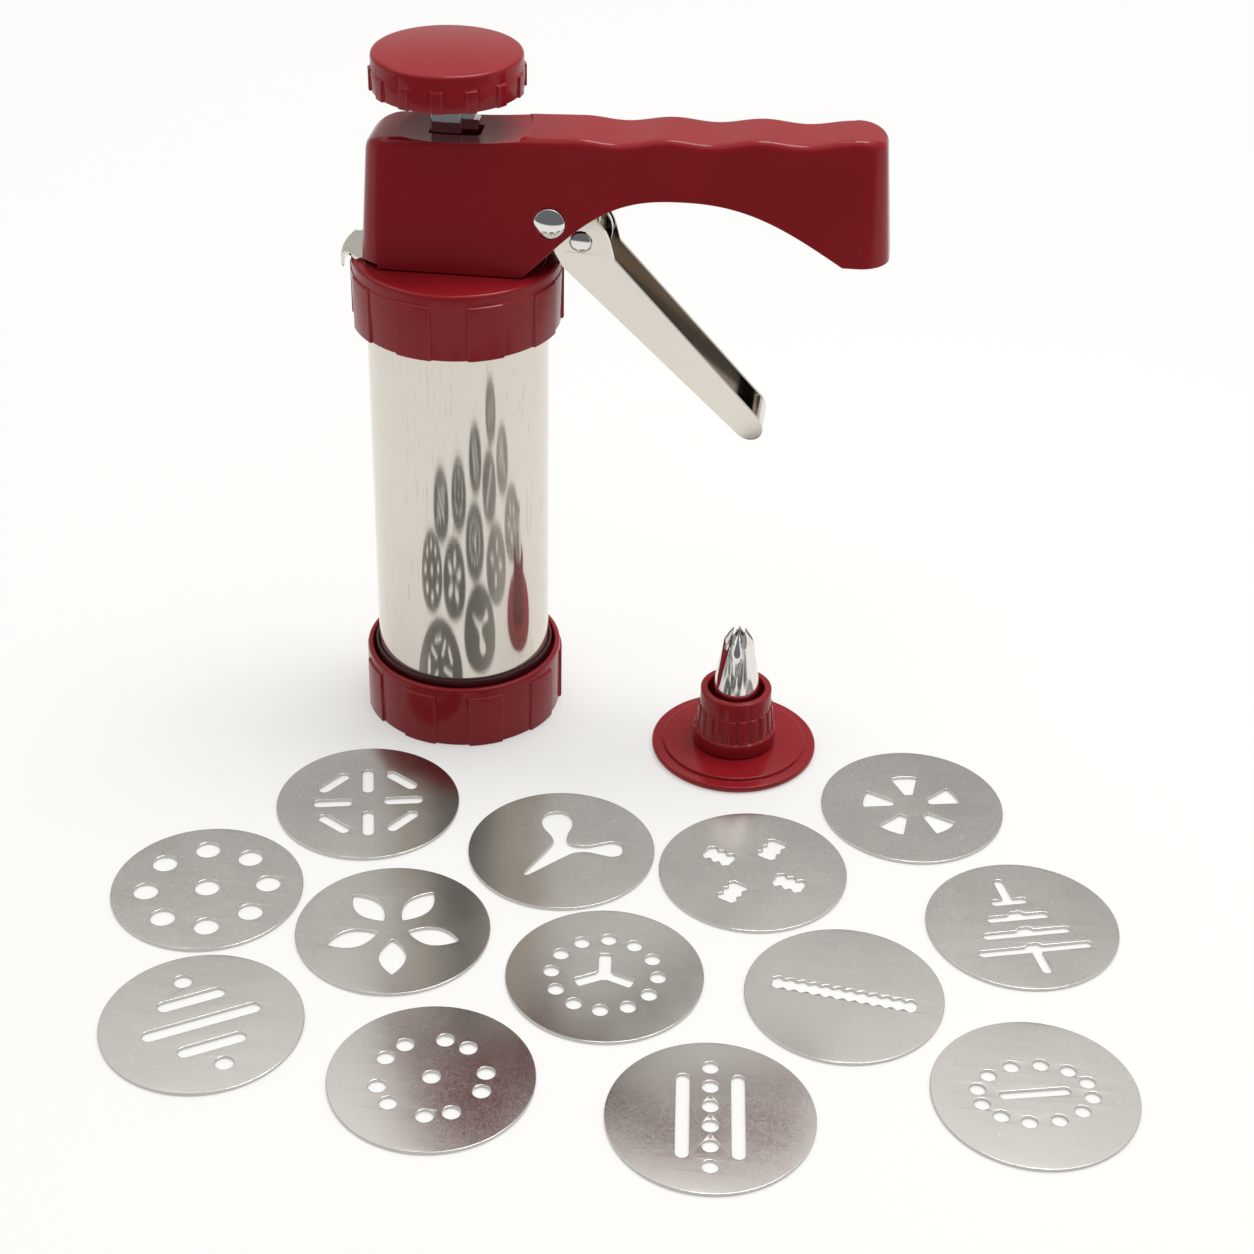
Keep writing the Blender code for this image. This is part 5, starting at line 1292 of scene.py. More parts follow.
@dataclass
class Rows:
    """Repeats a mesh along a line with geometry nodes."""

    name: str
    unit: bpy.types.Object
    material: bpy.types.Material

    def along(self, start: Sequence[float], step: Sequence[float], count: int) -> bpy.types.Object:
        """Repeats the unit and bakes the result.

        Args:
            start: where the first one goes.
            step: from one to the next.
            count: how many there are.

        Returns:
            One mesh of them all.
        """
        tree = bpy.data.node_groups.new(self.name, "GeometryNodeTree")
        face = tree.interface
        face.new_socket("Geometry", in_out="INPUT", socket_type="NodeSocketGeometry")
        sockets = {
            "Count": face.new_socket("Count", in_out="INPUT", socket_type="NodeSocketInt"),
            "Start": face.new_socket("Start", in_out="INPUT", socket_type="NodeSocketVector"),
            "Step": face.new_socket("Step", in_out="INPUT", socket_type="NodeSocketVector"),
        }
        face.new_socket("Geometry", in_out="OUTPUT", socket_type="NodeSocketGeometry")
        nodes, links = tree.nodes, tree.links
        source = nodes.new("NodeGroupInput")
        line = nodes.new("GeometryNodeMeshLine")
        line.mode = "OFFSET"
        spread = nodes.new("GeometryNodeInstanceOnPoints")
        real = nodes.new("GeometryNodeRealizeInstances")
        finish = nodes.new("GeometryNodeSetMaterial")
        finish.inputs["Material"].default_value = self.material
        sink = nodes.new("NodeGroupOutput")
        links.new(source.outputs["Count"], line.inputs["Count"])
        links.new(source.outputs["Start"], line.inputs["Start Location"])
        links.new(source.outputs["Step"], line.inputs["Offset"])
        links.new(line.outputs["Mesh"], spread.inputs["Points"])
        links.new(source.outputs["Geometry"], spread.inputs["Instance"])
        links.new(spread.outputs["Instances"], real.inputs["Geometry"])
        links.new(real.outputs["Geometry"], finish.inputs["Geometry"])
        links.new(finish.outputs["Geometry"], sink.inputs["Geometry"])
        modifier = self.unit.modifiers.new("Rows", "NODES")
        modifier.node_group = tree
        modifier[sockets["Count"].identifier] = count
        modifier[sockets["Start"].identifier] = tuple(start)
        modifier[sockets["Step"].identifier] = tuple(step)
        return Mould.bake(self.unit)


@dataclass
class Lever(Assembly):
    """The trigger channel with its pin, rivet and drive link, measured from the pivot."""

    pivot_x: float = 0.0286
    pivot_z: float = 0.1677
    width: float = 0.0150
    sheet: float = 0.0012
    tip: Flat = (0.0570, -0.0611)
    tip_half: float = 0.0039
    tip_reach: float = 0.0049
    heel: Flat = (0.0030, -0.0152)
    heel_top: Flat = (0.0004, -0.0104)
    fold_start: Flat = (0.0086, -0.0203)
    rivet: Flat = (0.0080, -0.0073)
    rivet_radius: float = 0.00295

    def at(self, point: Sequence[float]) -> Flat:
        """A place of the side view."""
        return self.pivot_x + point[0], self.pivot_z + point[1]

    def channel(self) -> bpy.types.Object:
        """The folded channel: two cheeks, the web along their lower edge and the round tip.

        Returns:
            The channel.
        """
        along = Vector(self.tip) - Vector(self.heel)
        along -= Vector((-along.y, along.x)).normalized() * self.tip_half
        along.normalize()
        across = Vector((-along.y, along.x))
        centre = Vector(self.tip)

        def tip_end(shrink: float) -> list[Vector]:
            points = []
            for k in range(17):
                turn = math.pi * k / 16
                side = across * (self.tip_half - shrink) * math.cos(turn)
                points.append(centre + side + along * (self.tip_reach - shrink) * math.sin(turn))
            return points

        boss = arc((0, 0), 0.0075, 235, 60, 24)
        shoulder = [(0.0124, -0.0012), (0.0155, -0.0052), (0.0175, -0.0123)]
        rim = boss + flowing_open([boss[-1]] + shoulder, 4)
        rim += [tuple(p) for p in tip_end(0)]
        corners = [(*rim[-1], 0), (*self.heel, 0.0025), (*self.heel_top, 0.001), (*boss[0], 0)]
        rim += filleted(corners, 5, closed=False)[1:-1]
        half = self.width / 2
        body = Mould.side_plate("channel", [[self.at(p) for p in rim]], -half, half)
        fold = Vector(self.fold_start) + across * self.sheet
        far_out = fold - across * (self.sheet + 0.003)
        inner = tip_end(self.sheet)
        first = inner[0] + across * (self.width + 0.003)
        hollow = [tuple(p) for p in inner] + [tuple(fold), tuple(far_out), (-0.0105, far_out.y)]
        hollow += [(-0.0105, 0.0105), (centre.x, 0.0105), tuple(first)]
        self.fold_outer_edges(body, along, across)
        inside = half - self.sheet
        core = Mould.side_plate("channel_core", [[self.at(p) for p in hollow]], -inside, inside)
        Mould.cut(body, core)
        for point, radius in (((0, 0), 0.0023), (self.rivet, self.rivet_radius + 0.0004)):
            x, z = self.at(point)
            Mould.cut(body, Mould.rod("hole", radius, (x, -0.02, z), (x, 0.02, z), 48))
        return Mould.edged(body, 0.00022, 35, 2)

    def fold_outer_edges(self, body: bpy.types.Object, along: Vector, across: Vector) -> None:
        """Rounds the outer edges where the cheeks fold into the web.

        Args:
            body: the solid channel, before it is hollowed.
            along: direction of the fold in the side view.
            across: direction across it, away from the web.
        """
        shape = bmesh.new()
        shape.from_mesh(body.data)
        start = Vector(self.at(self.heel)) + along * 0.006
        tip = Vector(self.at(self.tip))
        chosen = []
        for edge in shape.edges:
            a, b = (Vector((v.co.x, v.co.z)) for v in edge.verts)
            if abs(edge.verts[0].co.y - edge.verts[1].co.y) > TIDY or len(edge.link_faces) != 2:
                continue
            middle = (a + b) / 2
            outward = (middle - tip).dot(across)
            if (middle - start).dot(along) > 0 and (outward < 0.001 or (middle - tip).dot(along) > 0.001):
                if abs(edge.link_faces[0].normal.y) > 0.9 or abs(edge.link_faces[1].normal.y) > 0.9:
                    if min(abs(edge.link_faces[0].normal.y), abs(edge.link_faces[1].normal.y)) < 0.1:
                        chosen.append(edge)
        bmesh.ops.bevel(
            shape, geom=chosen, offset=self.sheet, segments=5, profile=0.5, affect="EDGES", clamp_overlap=True
        )
        shape.to_mesh(body.data)
        shape.free()

    def pin(self, name: str, profile: Sequence[Shade], point: Sequence[float]) -> bpy.types.Object:
        """A turned pin that lies across the press.

        Args:
            name: the piece's name.
            profile: (radius, distance from the middle, corner radius) of its near half.
            point: its place in the side view, from the pivot.

        Returns:
            The pin.
        """
        near = filleted(profile, 5, closed=False)
        whole = near + [(radius, -reach) for radius, reach in reversed(near)]
        made = Mould.turned(name, whole, 64)
        x, z = self.at(point)
        made.data.transform(Matrix.Translation((x, 0, z)) @ Matrix.Rotation(math.radians(90), 4, "X"))
        return made

    def build(self) -> None:
        """Makes the lever's pieces."""
        self.place(self.channel(), "trigger", "trigger", Slot.TRIGGER, weighted=True)
        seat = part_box("trigger_pin")[1].y - AXIS.y - 0.0015
        head = 0.00435
        rim, crown, shaft = 0.0006, 0.0009, 0.0020
        dome = []
        for a in range(0, 60, 6):
            turn = math.radians(a)
            rise = rim + crown * (math.cos(turn) - 0.5) / 0.5
            dome.append((head * math.sin(turn) / math.sin(math.radians(60)), seat + rise, 0))
        profile = dome + [(head, seat + rim, 0.0003), (head, seat, 0.0002), (shaft, seat, 0)]
        self.place(self.pin("trigger_pin_fine", profile, (0, 0)), "press_body", "trigger_pin", Slot.BRIGHT)
        end = self.width / 2 + 0.0005
        radius = self.rivet_radius
        profile = [(0, end, 0), (radius * 0.5, end - 0.00003, 0)]
        profile += [(radius, end - 0.0002, 0.0004), (radius, 0.001, 0)]
        self.place(self.pin("cross_rivet_fine", profile, self.rivet), "trigger", "cross_rivet", Slot.BRIGHT)
        self.link()

    def link(self) -> None:
        """Makes the plate between the rivet, the pivot and the pawl."""
        places = ((self.rivet, 0.0078), ((0, 0), 0.0060), ((-0.0138, 0.0044), 0.0034))
        circles = [(*self.at(point), radius) for point, radius in places]
        shape = bmesh.new()
        for x, z, radius in circles:
            for px, pz in circle((x, z), radius, 60):
                shape.verts.new((px, pz, 0))
        made = bmesh.ops.convex_hull(shape, input=shape.verts)
        lost = {item for item in made["geom_interior"] if isinstance(item, bmesh.types.BMVert)}
        bmesh.ops.delete(shape, geom=list(lost), context="VERTS")
        rim_points = [v.co.copy() for v in shape.verts]
        shape.free()
        middle = sum(rim_points, Vector()) / len(rim_points)
        rim_points.sort(key=lambda p: math.atan2(p.y - middle.y, p.x - middle.x))
        outlines = [[(p.x, p.y) for p in rim_points]]
        for (x, z, _), radius in zip(circles, (self.rivet_radius + GAP, 0.0023, 0.0017)):
            outlines.append(circle((x, z), radius, 40))
        plate = Mould.side_plate("drive_link_fine", outlines, 0.0020, 0.0040, 0.0002)
        self.place(plate, "trigger", "drive_link", Slot.TRIGGER, weighted=True)


def flowing_open(points: Outline, steps: int) -> Outline:
    """A smooth open line through the points, without its first point.

    Args:
        points: the points it passes through.
        steps: how many pieces lie between two of them.

    Returns:
        The line's points.
    """
    line: Outline = []
    last = len(points) - 1
    for i in range(last):
        ends = [Vector(points[min(max(i + k, 0), last)]) for k in (-1, 0, 1, 2)]
        for k in range(1, steps + 1):
            t = k / steps
            place = (
                ends[1] * 2
                + (ends[2] - ends[0]) * t
                + (ends[0] * 2 - ends[1] * 5 + ends[2] * 4 - ends[3]) * t * t
                + (ends[1] * 3 - ends[0] - ends[2] * 3 + ends[3]) * t**3
            ) / 2
            line.append((place.x, place.y))
    return line


@dataclass
class Release(Assembly):
    """The release plate under the nose."""

    lip: float = 0.0319
    sheet: float = 0.0009
    drop: float = 0.0043

    def build(self) -> None:
        """Makes the plate."""
        low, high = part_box("release_plate")
        bottom = 0.1516
        top = bottom + self.sheet
        bend = 0.0012
        outer = self.lip + self.sheet
        half_tip = math.degrees(math.asin(0.0080 / outer))
        reach = outer * math.cos(math.radians(half_tip))
        rows = []
        steps = 24
        inner_r, outer_r = self.lip, outer
        section = [(outer_r - bend - 0.0012, top), (outer_r - bend, top)]
        section += arc((outer_r - bend, top - bend), bend, 90, 0, 8)[1:]
        foot, corner, lift_zone = bottom - self.drop, 0.0002, 0.001
        section += [(outer_r, foot + 0.0005), (outer_r - corner, foot)]
        section += [(inner_r + corner, foot), (inner_r, foot + 0.0005)]
        hollow = bend - self.sheet
        section += arc((outer_r - bend, top - bend), hollow, 0, 90, 4)
        section += [(outer_r - bend - 0.0012, bottom)]
        for i in range(steps + 1):
            share = 2 * i / steps - 1
            angle = math.radians(180 + half_tip * share)
            lift = 0.0012 * max(0, abs(share) - 0.86) / 0.14
            c, s = math.cos(angle), math.sin(angle)
            rows.append([(r * c, r * s, z + (lift if z < foot + lift_zone else 0)) for r, z in section])
        lip = Mould.loft("lip", rows)
        tab = arc((0, 0), outer_r - bend - 0.0010, 180 - half_tip, 180 + half_tip, 15)
        opening = window((-0.0080, -0.0039), (0.0076, 0.0039), 0.0006, 4)
        near = [(-0.0268, -0.0106), (-0.0177, -0.0110), (-0.0177, -0.0070), (0.0120, -0.0070)]
        rim = tab + near + [(x, -y) for x, y in reversed(near)]
        plate = Mould.plate("release_plate_fine", [rim, opening], bottom, top)
        Mould.join(plate, lip)
        near_end = (0.0120 - self.sheet, -0.0050, bottom + corner)
        tongue = Mould.block("tongue", near_end, (0.0120, 0.0050, high.z))
        Mould.join(plate, tongue)
        Mould.edged(plate, 0.00015, 50, 2)
        self.place(plate, "release", "release_plate", Slot.TRIGGER, sharp=40, weighted=True)


@dataclass
class Nozzle(Assembly):
    """The flanged adapter, its ribbed nut and the star tip."""

    centre: Flat = (0.086994, -0.016497)

    def build(self) -> None:
        """Makes the three pieces."""
        bore, boss, boss_top = 0.0076, 0.0096, 0.0141
        corners = [
            (bore, boss_top, 0.0003), (boss, boss_top, 0.0003), (boss, 0.0033, 0), (0.0218, 0.0033, 0.0005),
            (0.0219, 0.0022, 0.0002), (0.0251, 0.0022, 0.0006), (0.0251, 0.0008, 0.0004), (0.0245, 0, 0.0002),
            (bore, 0, 0.0003),
        ]
        adapter = Mould.turned("nozzle_adapter_fine", filleted(corners, 5), 200)
        self.place(adapter, "nozzle", "nozzle_adapter", Slot.RED, at=self.centre)
        self.nut()
        self.star()

    def nut(self) -> None:
        """Makes the ribbed nut."""
        base = 0.0036

        def profile(level: float) -> Outline:
            out = 0.0005 * level
            return filleted(
                [
                    (0.0087, 0.0222, 0.0004), (0.0108, 0.0222, 0.0006), (0.0108, 0.0162, 0.0004),
                    (0.0108 + out, 0.0161, 0.0002), (0.0115 + out, 0.0084, 0.0002), (0.01255, 0.0081, 0.0005),
                    (0.01255, base, 0.0003), (0.0100, base, 0), (0.0100, 0.0205, 0), (0.0087, 0.0205, 0.0003),
                ],
                3,
            )

        nut = Mould.ribbed("nozzle_nut_fine", profile, 20, 0, 11.5, 3.0, 4)
        self.place(nut, "nozzle_nut", "nozzle_nut", Slot.RED, at=self.centre)

    def star(self) -> None:
        """Makes the star tip with its folded prongs."""
        rim_low, rim_top, base, mouth, top = 0.0144, 0.0152, 0.0083, 0.0042, 0.0403
        wall, prong, lobes, each, levels, crown = 0.0005, 0.0047, 6, 24, 12, 8
        even_top = top - 0.0052
        sections = []
        for i in range(lobes * each):
            angle = 2 * math.pi * i / (lobes * each)
            wave = (1 - math.cos(lobes * angle)) / 2
            end = top + prong * (wave**0.8 - 0.5)
            outer, inner = [], []
            for k in range(levels + crown + 1):
                if k <= levels:
                    z = rim_top + (even_top - rim_top) * k / levels
                else:
                    z = even_top + (end - even_top) * (k - levels) / crown
                share = (z - rim_top) / (top - rim_top)
                bend = max(0, (z - even_top) / (top - even_top))
                depth = 0.12 * max(0, 2 * share - 1) ** 1.3 + 0.16 * bend**1.4
                radius = (base + (mouth - base) * share) * (1 - depth * wave)
                outer.append((radius, z))
                inner.append((radius - wall, z))
            profile = [(0.0095, rim_top), (0.0095, rim_low), (base - wall, rim_low)] + inner + outer[::-1]
            c, s = math.cos(angle), math.sin(angle)
            sections.append([(r * c, r * s, z) for r, z in profile])
        tip = Mould.loft("nozzle_tip_fine", sections, ring=True)
        self.place(tip, "nozzle", "nozzle_tip", Slot.BRIGHT, sharp=55, at=self.centre)


class Patterns:
    """The discs' cut-outs: each method gives the outlines of one disc's holes."""

    @staticmethod
    def limbs(parts: Sequence[tuple[float, Sequence[Flat]]]) -> Outline:
        """An outline of several limbs from one centre.

        Args:
            parts: (direction, ((distance, half width), ...)) of each limb.

        Returns:
            The closed outline.
        """
        outline: Outline = []
        for degrees, stations in parts:
            right = [(along, -half) for along, half in stations]
            left = [(along, half) for along, half in reversed(stations)]
            outline += spun(right + left, degrees)
        return outline

    @staticmethod
    def wavy(length: float, half: float, wave: float, count: int, power: float = 1.0) -> Outline:
        """A slot whose two long sides bulge together.

        Args:
            length: its length.
            half: half its mean width.
            wave: how far each side swings.
            count: how many bulges it has.
            power: below 1 the bulges are fuller.

        Returns:
            The closed outline.
        """
        total = count * 10
        upper = []
        for i in range(total + 1):
            swing = math.cos(2 * math.pi * i / 10)
            swell = math.copysign(abs(swing) ** power, swing) * wave
            upper.append((length * (i / total - 1 / 2), half - swell))
        return upper + [(x, -y) for x, y in reversed(upper)]

    @staticmethod
    def crossed_slots() -> list[Outline]:
        """Four slots out from the middle and four across them."""
        out = around(slot((0.0104, 0), 0.0115, 0.0033), 4, 12.5)
        return out + around(slot((0.0142, 0), 0.0115, 0.0033, 90), 4, 57.5)

    @staticmethod
    def three_limbs() -> list[Outline]:
        """One flowing hole with a lobe, an arm and a tail.

        Returns:
            The holes.
        """
        reach = 0.0180
        arm = ((0.20, 0.10), (0.42, 0.08), (0.62, 0.14), (0.83, 0.19), (0.97, 0.11))
        lobe = ((0.20, 0.11), (0.38, 0.14), (0.58, 0.23), (0.80, 0.24), (0.96, 0.12))
        tail = ((0.16, 0.16), (0.44, 0.11), (0.68, 0.07), (0.86, 0.03))
        parts = [
            (degrees, [(along * reach, half * reach) for along, half in shares])
            for degrees, shares in ((8, arm), (104, lobe), (237, tail))
        ]
        return [flowing(Patterns.limbs(parts), 6)]

    @staticmethod
    def spools() -> list[Outline]:
        """Four short jagged slots."""
        outline = [(x + 0.0115, y) for x, y in Patterns.wavy(0.0090, 0.0026, 0.0005, 3)]
        return [spun(outline, degrees) for degrees in (153, 66, -21, -115)]

    @staticmethod
    def wedges() -> list[Outline]:
        """Five wedges round the middle.

        Returns:
            The holes.
        """
        half = math.degrees(math.asin(0.0040 / 0.0145))
        crown = arc((0, 0), 0.0145, -half, half, 9)
        corners = [(0.0055, 0.0012, 0.0003), (0.0055, -0.0012, 0.0003), (*crown[0], 0.0004)]
        corners += [(*point, 0) for point in crown[1:-1]] + [(*crown[-1], 0.0004)]
        return around(filleted(corners, 3), 5, 102)

    @staticmethod
    def nine_holes() -> list[Outline]:
        """A middle hole and eight round it."""
        return [circle((0, 0), 0.0035)] + around(circle((0.0171, 0), 0.0035), 8, 14.5)

    @staticmethod
    def petals() -> list[Outline]:
        """Five pointed petals.

        Returns:
            The holes.
        """
        upper = []
        for i in range(25):
            t = i / 24
            upper.append((0.0045 + 0.0145 * t, 0.0037 * max(0, math.sin(math.pi * t)) ** 0.85))
        return around(upper + [(x, -y) for x, y in reversed(upper[1:-1])], 5, 65)

    @staticmethod
    def star_in_ring() -> list[Outline]:
        """A three-armed star in a ring of twelve holes.

        Returns:
            The holes.
        """
        arms = []
        half, long = 0.0017, 0.0085
        for degrees in (-20, 96, 211):
            corners = [(0.0018, -half, 0), (long, -half, 0.0007), (long, half, 0.0007), (0.0018, half, 0)]
            arms += spun(filleted(corners, 4, closed=False), degrees)
        return [arms] + around(circle((0.0145, 0), 0.0022, 32), 12, 3)

    @staticmethod
    def wavy_ribbon() -> list[Outline]:
        """One long slot with wavy sides."""
        return [spun(Patterns.wavy(0.0395, 0.0021, 0.0004, 12), -7)]

    @staticmethod
    def fir_tree() -> list[Outline]:
        """Four leaning bars, with a stem above and a trunk below.

        Returns:
            The holes.
        """
        holes = []
        end, post = 0.0013, 0.0014
        for i in range(4):
            reach = (0.0105 + i * 0.0073) / 2 - end
            right, left = arc((reach, 0), end, -90, 90, 9), arc((-reach, 0), end, 90, 270, 9)
            above: Outline = []
            below: Outline = []
            if i == 0:
                above = [(post, end)] + arc((0, 0.0086), post, 0, 180, 9) + [(-post, end)]
            else:
                peak = [(0.0026, end), (0.0013, end + 0.0012), (-0.0013, end + 0.0012), (-0.0026, end)]
                above = filleted([(*point, 0.0004) for point in peak], 3, closed=False)
            if i == 3:
                below = [(-post, -end)] + arc((0, -0.0088), post, 180, 360, 9) + [(post, -end)]
            outline = right + above + left + below
            height = 0.0104 - i * 0.0070
            holes.append(spun([(x, y - 0.06 * x + height) for x, y in outline], 20))
        return holes

    @staticmethod
    def three_slots() -> list[Outline]:
        """Three slots side by side and two holes.

        Returns:
            The holes.
        """
        holes = [slot((0, 0), 0.0323, 0.0040, 32)]
        holes += [slot(polar(0.0095, degrees), 0.0185, 0.0040, 32) for degrees in (122, -58)]
        return holes + [circle(polar(0.0174, degrees), 0.0025, 32) for degrees in (122, -55)]

    @staticmethod
    def hole_pairs() -> list[Outline]:
        """A middle hole and five pairs round it.

        Returns:
            The holes.
        """
        holes = [circle((0, 0), 0.00235, 32)]
        for side in (-14, 14):
            holes += around(circle((0.0141, 0), 0.00235, 32), 5, side)
        return holes

    @staticmethod
    def holes_and_rails() -> list[Outline]:
        """Six holes in a row between two long slots.

        Returns:
            The holes.
        """
        holes = [circle((0.00705 * (i - 2.5), 0), 0.0022, 32) for i in range(6)]
        holes += [slot((0, side * 0.0071), 0.0299, 0.0035) for side in (-1, 1)]
        return [spun(hole, 95.5) for hole in holes]

    @staticmethod
    def oval_of_holes() -> list[Outline]:
        """A slot in an oval of twelve holes.

        Returns:
            The holes.
        """
        holes = [slot((0, 0), 0.0187, 0.0028, 1)]
        for i in range(12):
            x, y = polar(1, 30 * (i + 0.5))
            holes.append(circle((0.0150 * x, 0.0105 * y), 0.0021, 32))
        return [spun(hole, 13) for hole in holes]


@dataclass
class Discs(Assembly):
    """The thirteen pattern discs, each where its CAD node lies."""

    patterns: dict[str, Callable[[], list[Outline]]] = field(
        default_factory=lambda: {
            "disc_a": Patterns.crossed_slots, "disc_b": Patterns.three_limbs, "disc_c": Patterns.spools,
            "disc_d": Patterns.wedges, "disc_e": Patterns.nine_holes, "disc_f": Patterns.petals,
            "disc_g": Patterns.star_in_ring, "disc_h": Patterns.wavy_ribbon, "disc_i": Patterns.fir_tree,
            "disc_j": Patterns.three_slots, "disc_k": Patterns.hole_pairs,
            "disc_l": Patterns.holes_and_rails, "disc_m": Patterns.oval_of_holes,
        }
    )
    edge: float = 0.00018

    def build(self) -> None:
        """Makes the discs."""
        for name, pattern in self.patterns.items():
            low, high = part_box(name)
            middle = (low + high) / 2 - AXIS
            radius = (high.x - low.x) / 2
            outlines = [circle((0, 0), radius, 180)] + pattern()
            disc = Mould.plate(name + "_fine", outlines, low.z, high.z, self.edge)
            self.place(disc, name, name, Slot.DISC, at=(middle.x, middle.y), weighted=True)


@dataclass
class Springs(Assembly):
    """The release plate's spring, wound by geometry nodes; the trigger's torsion spring keeps its CAD wire.
    """

    @staticmethod
    def wound(name: str, radius: float, wire: float, turns: float, height: float) -> bpy.types.Object:
        """A coil round Z from the origin upwards.

        Args:
            name: the object's name.
            radius: the coil's middle radius.
            wire: the wire's radius.
            turns: how many turns.
            height: how far it rises.

        Returns:
            The coil, clockwise where the turns are below 0.
        """
        tree = bpy.data.node_groups.new(name, "GeometryNodeTree")
        tree.interface.new_socket("Geometry", in_out="INPUT", socket_type="NodeSocketGeometry")
        inputs = {
            key: tree.interface.new_socket(key, in_out="INPUT", socket_type="NodeSocketFloat")
            for key in ("Turns", "Radius", "Height", "Wire")
        }
        tree.interface.new_socket("Geometry", in_out="OUTPUT", socket_type="NodeSocketGeometry")
        nodes, links = tree.nodes, tree.links
        source, sink = nodes.new("NodeGroupInput"), nodes.new("NodeGroupOutput")
        coil, section = nodes.new("GeometryNodeCurveSpiral"), nodes.new("GeometryNodeCurvePrimitiveCircle")
        tube, real, finish = (
            nodes.new(kind)
            for kind in ("GeometryNodeCurveToMesh", "GeometryNodeRealizeInstances", "GeometryNodeSetMaterial")
        )
        coil.inputs["Resolution"].default_value = 40
        coil.inputs["Reverse"].default_value = turns < 0
        section.inputs["Resolution"].default_value = 12
        tube.inputs["Fill Caps"].default_value = True
        for key, target in (("Turns", coil.inputs["Rotations"]), ("Radius", coil.inputs["Start Radius"]),
                            ("Radius", coil.inputs["End Radius"]), ("Height", coil.inputs["Height"]),
                            ("Wire", section.inputs["Radius"])):
            links.new(source.outputs[key], target)
        links.new(coil.outputs["Curve"], tube.inputs["Curve"])
        links.new(section.outputs["Curve"], tube.inputs["Profile Curve"])
        links.new(tube.outputs["Mesh"], real.inputs["Geometry"])
        links.new(real.outputs["Geometry"], finish.inputs["Geometry"])
        links.new(finish.outputs["Geometry"], sink.inputs["Geometry"])
        mesh = bpy.data.meshes.new(name)
        mesh.from_pydata([(0, 0, 0)], [], [])
        made = bpy.data.objects.new(name, mesh)
        bpy.context.scene.collection.objects.link(made)
        modifier = made.modifiers.new("Coil", "NODES")
        modifier.node_group = tree
        for key, value in (("Turns", abs(turns)), ("Radius", radius), ("Height", height), ("Wire", wire)):
            modifier[inputs[key].identifier] = float(value)
        return Mould.bake(made)

    def build(self) -> None:
        """Makes the release spring; the trigger spring's CAD wire keeps its legs."""
        coil = self.wound("release_spring_fine", 0.0016, 0.0003, 4, 0.0048)
        low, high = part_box("release_spring")
        middle = (low + high) / 2 - AXIS
        start = Vector((low.x - AXIS.x + 0.0003, middle.y, middle.z))
        coil.data.transform(Matrix.Translation(start) @ Matrix.Rotation(math.radians(90), 4, "Y"))
        self.place(coil, "press_body", "release_spring", Slot.HARDWARE, sharp=60)


@dataclass
class Carried(Assembly):
    """The CAD nodes that keep their own shape and get a finish."""

    looks: dict[str, Slot] = field(
        default_factory=lambda: {
            "flange_screw_1": Slot.HARDWARE, "flange_screw_2": Slot.HARDWARE,
            "flange_screw_3": Slot.HARDWARE, "flange_screw_4": Slot.HARDWARE, "piston": Slot.DARK_RED,
            "piston_seal": Slot.RUBBER, "piston_screw": Slot.HARDWARE, "piston_washer": Slot.HARDWARE,
            "pawl_pin": Slot.BRIGHT, "drive_pawl": Slot.HARDWARE, "trigger_spring": Slot.HARDWARE,
        }
    )

    def build(self) -> None:
        """Gives each carried node its finish."""
        for name, look in self.looks.items():
            material = self.finishes.of(look)
            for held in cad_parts[name].material_slots:
                held.link = "OBJECT"
                held.material = material


# Stage


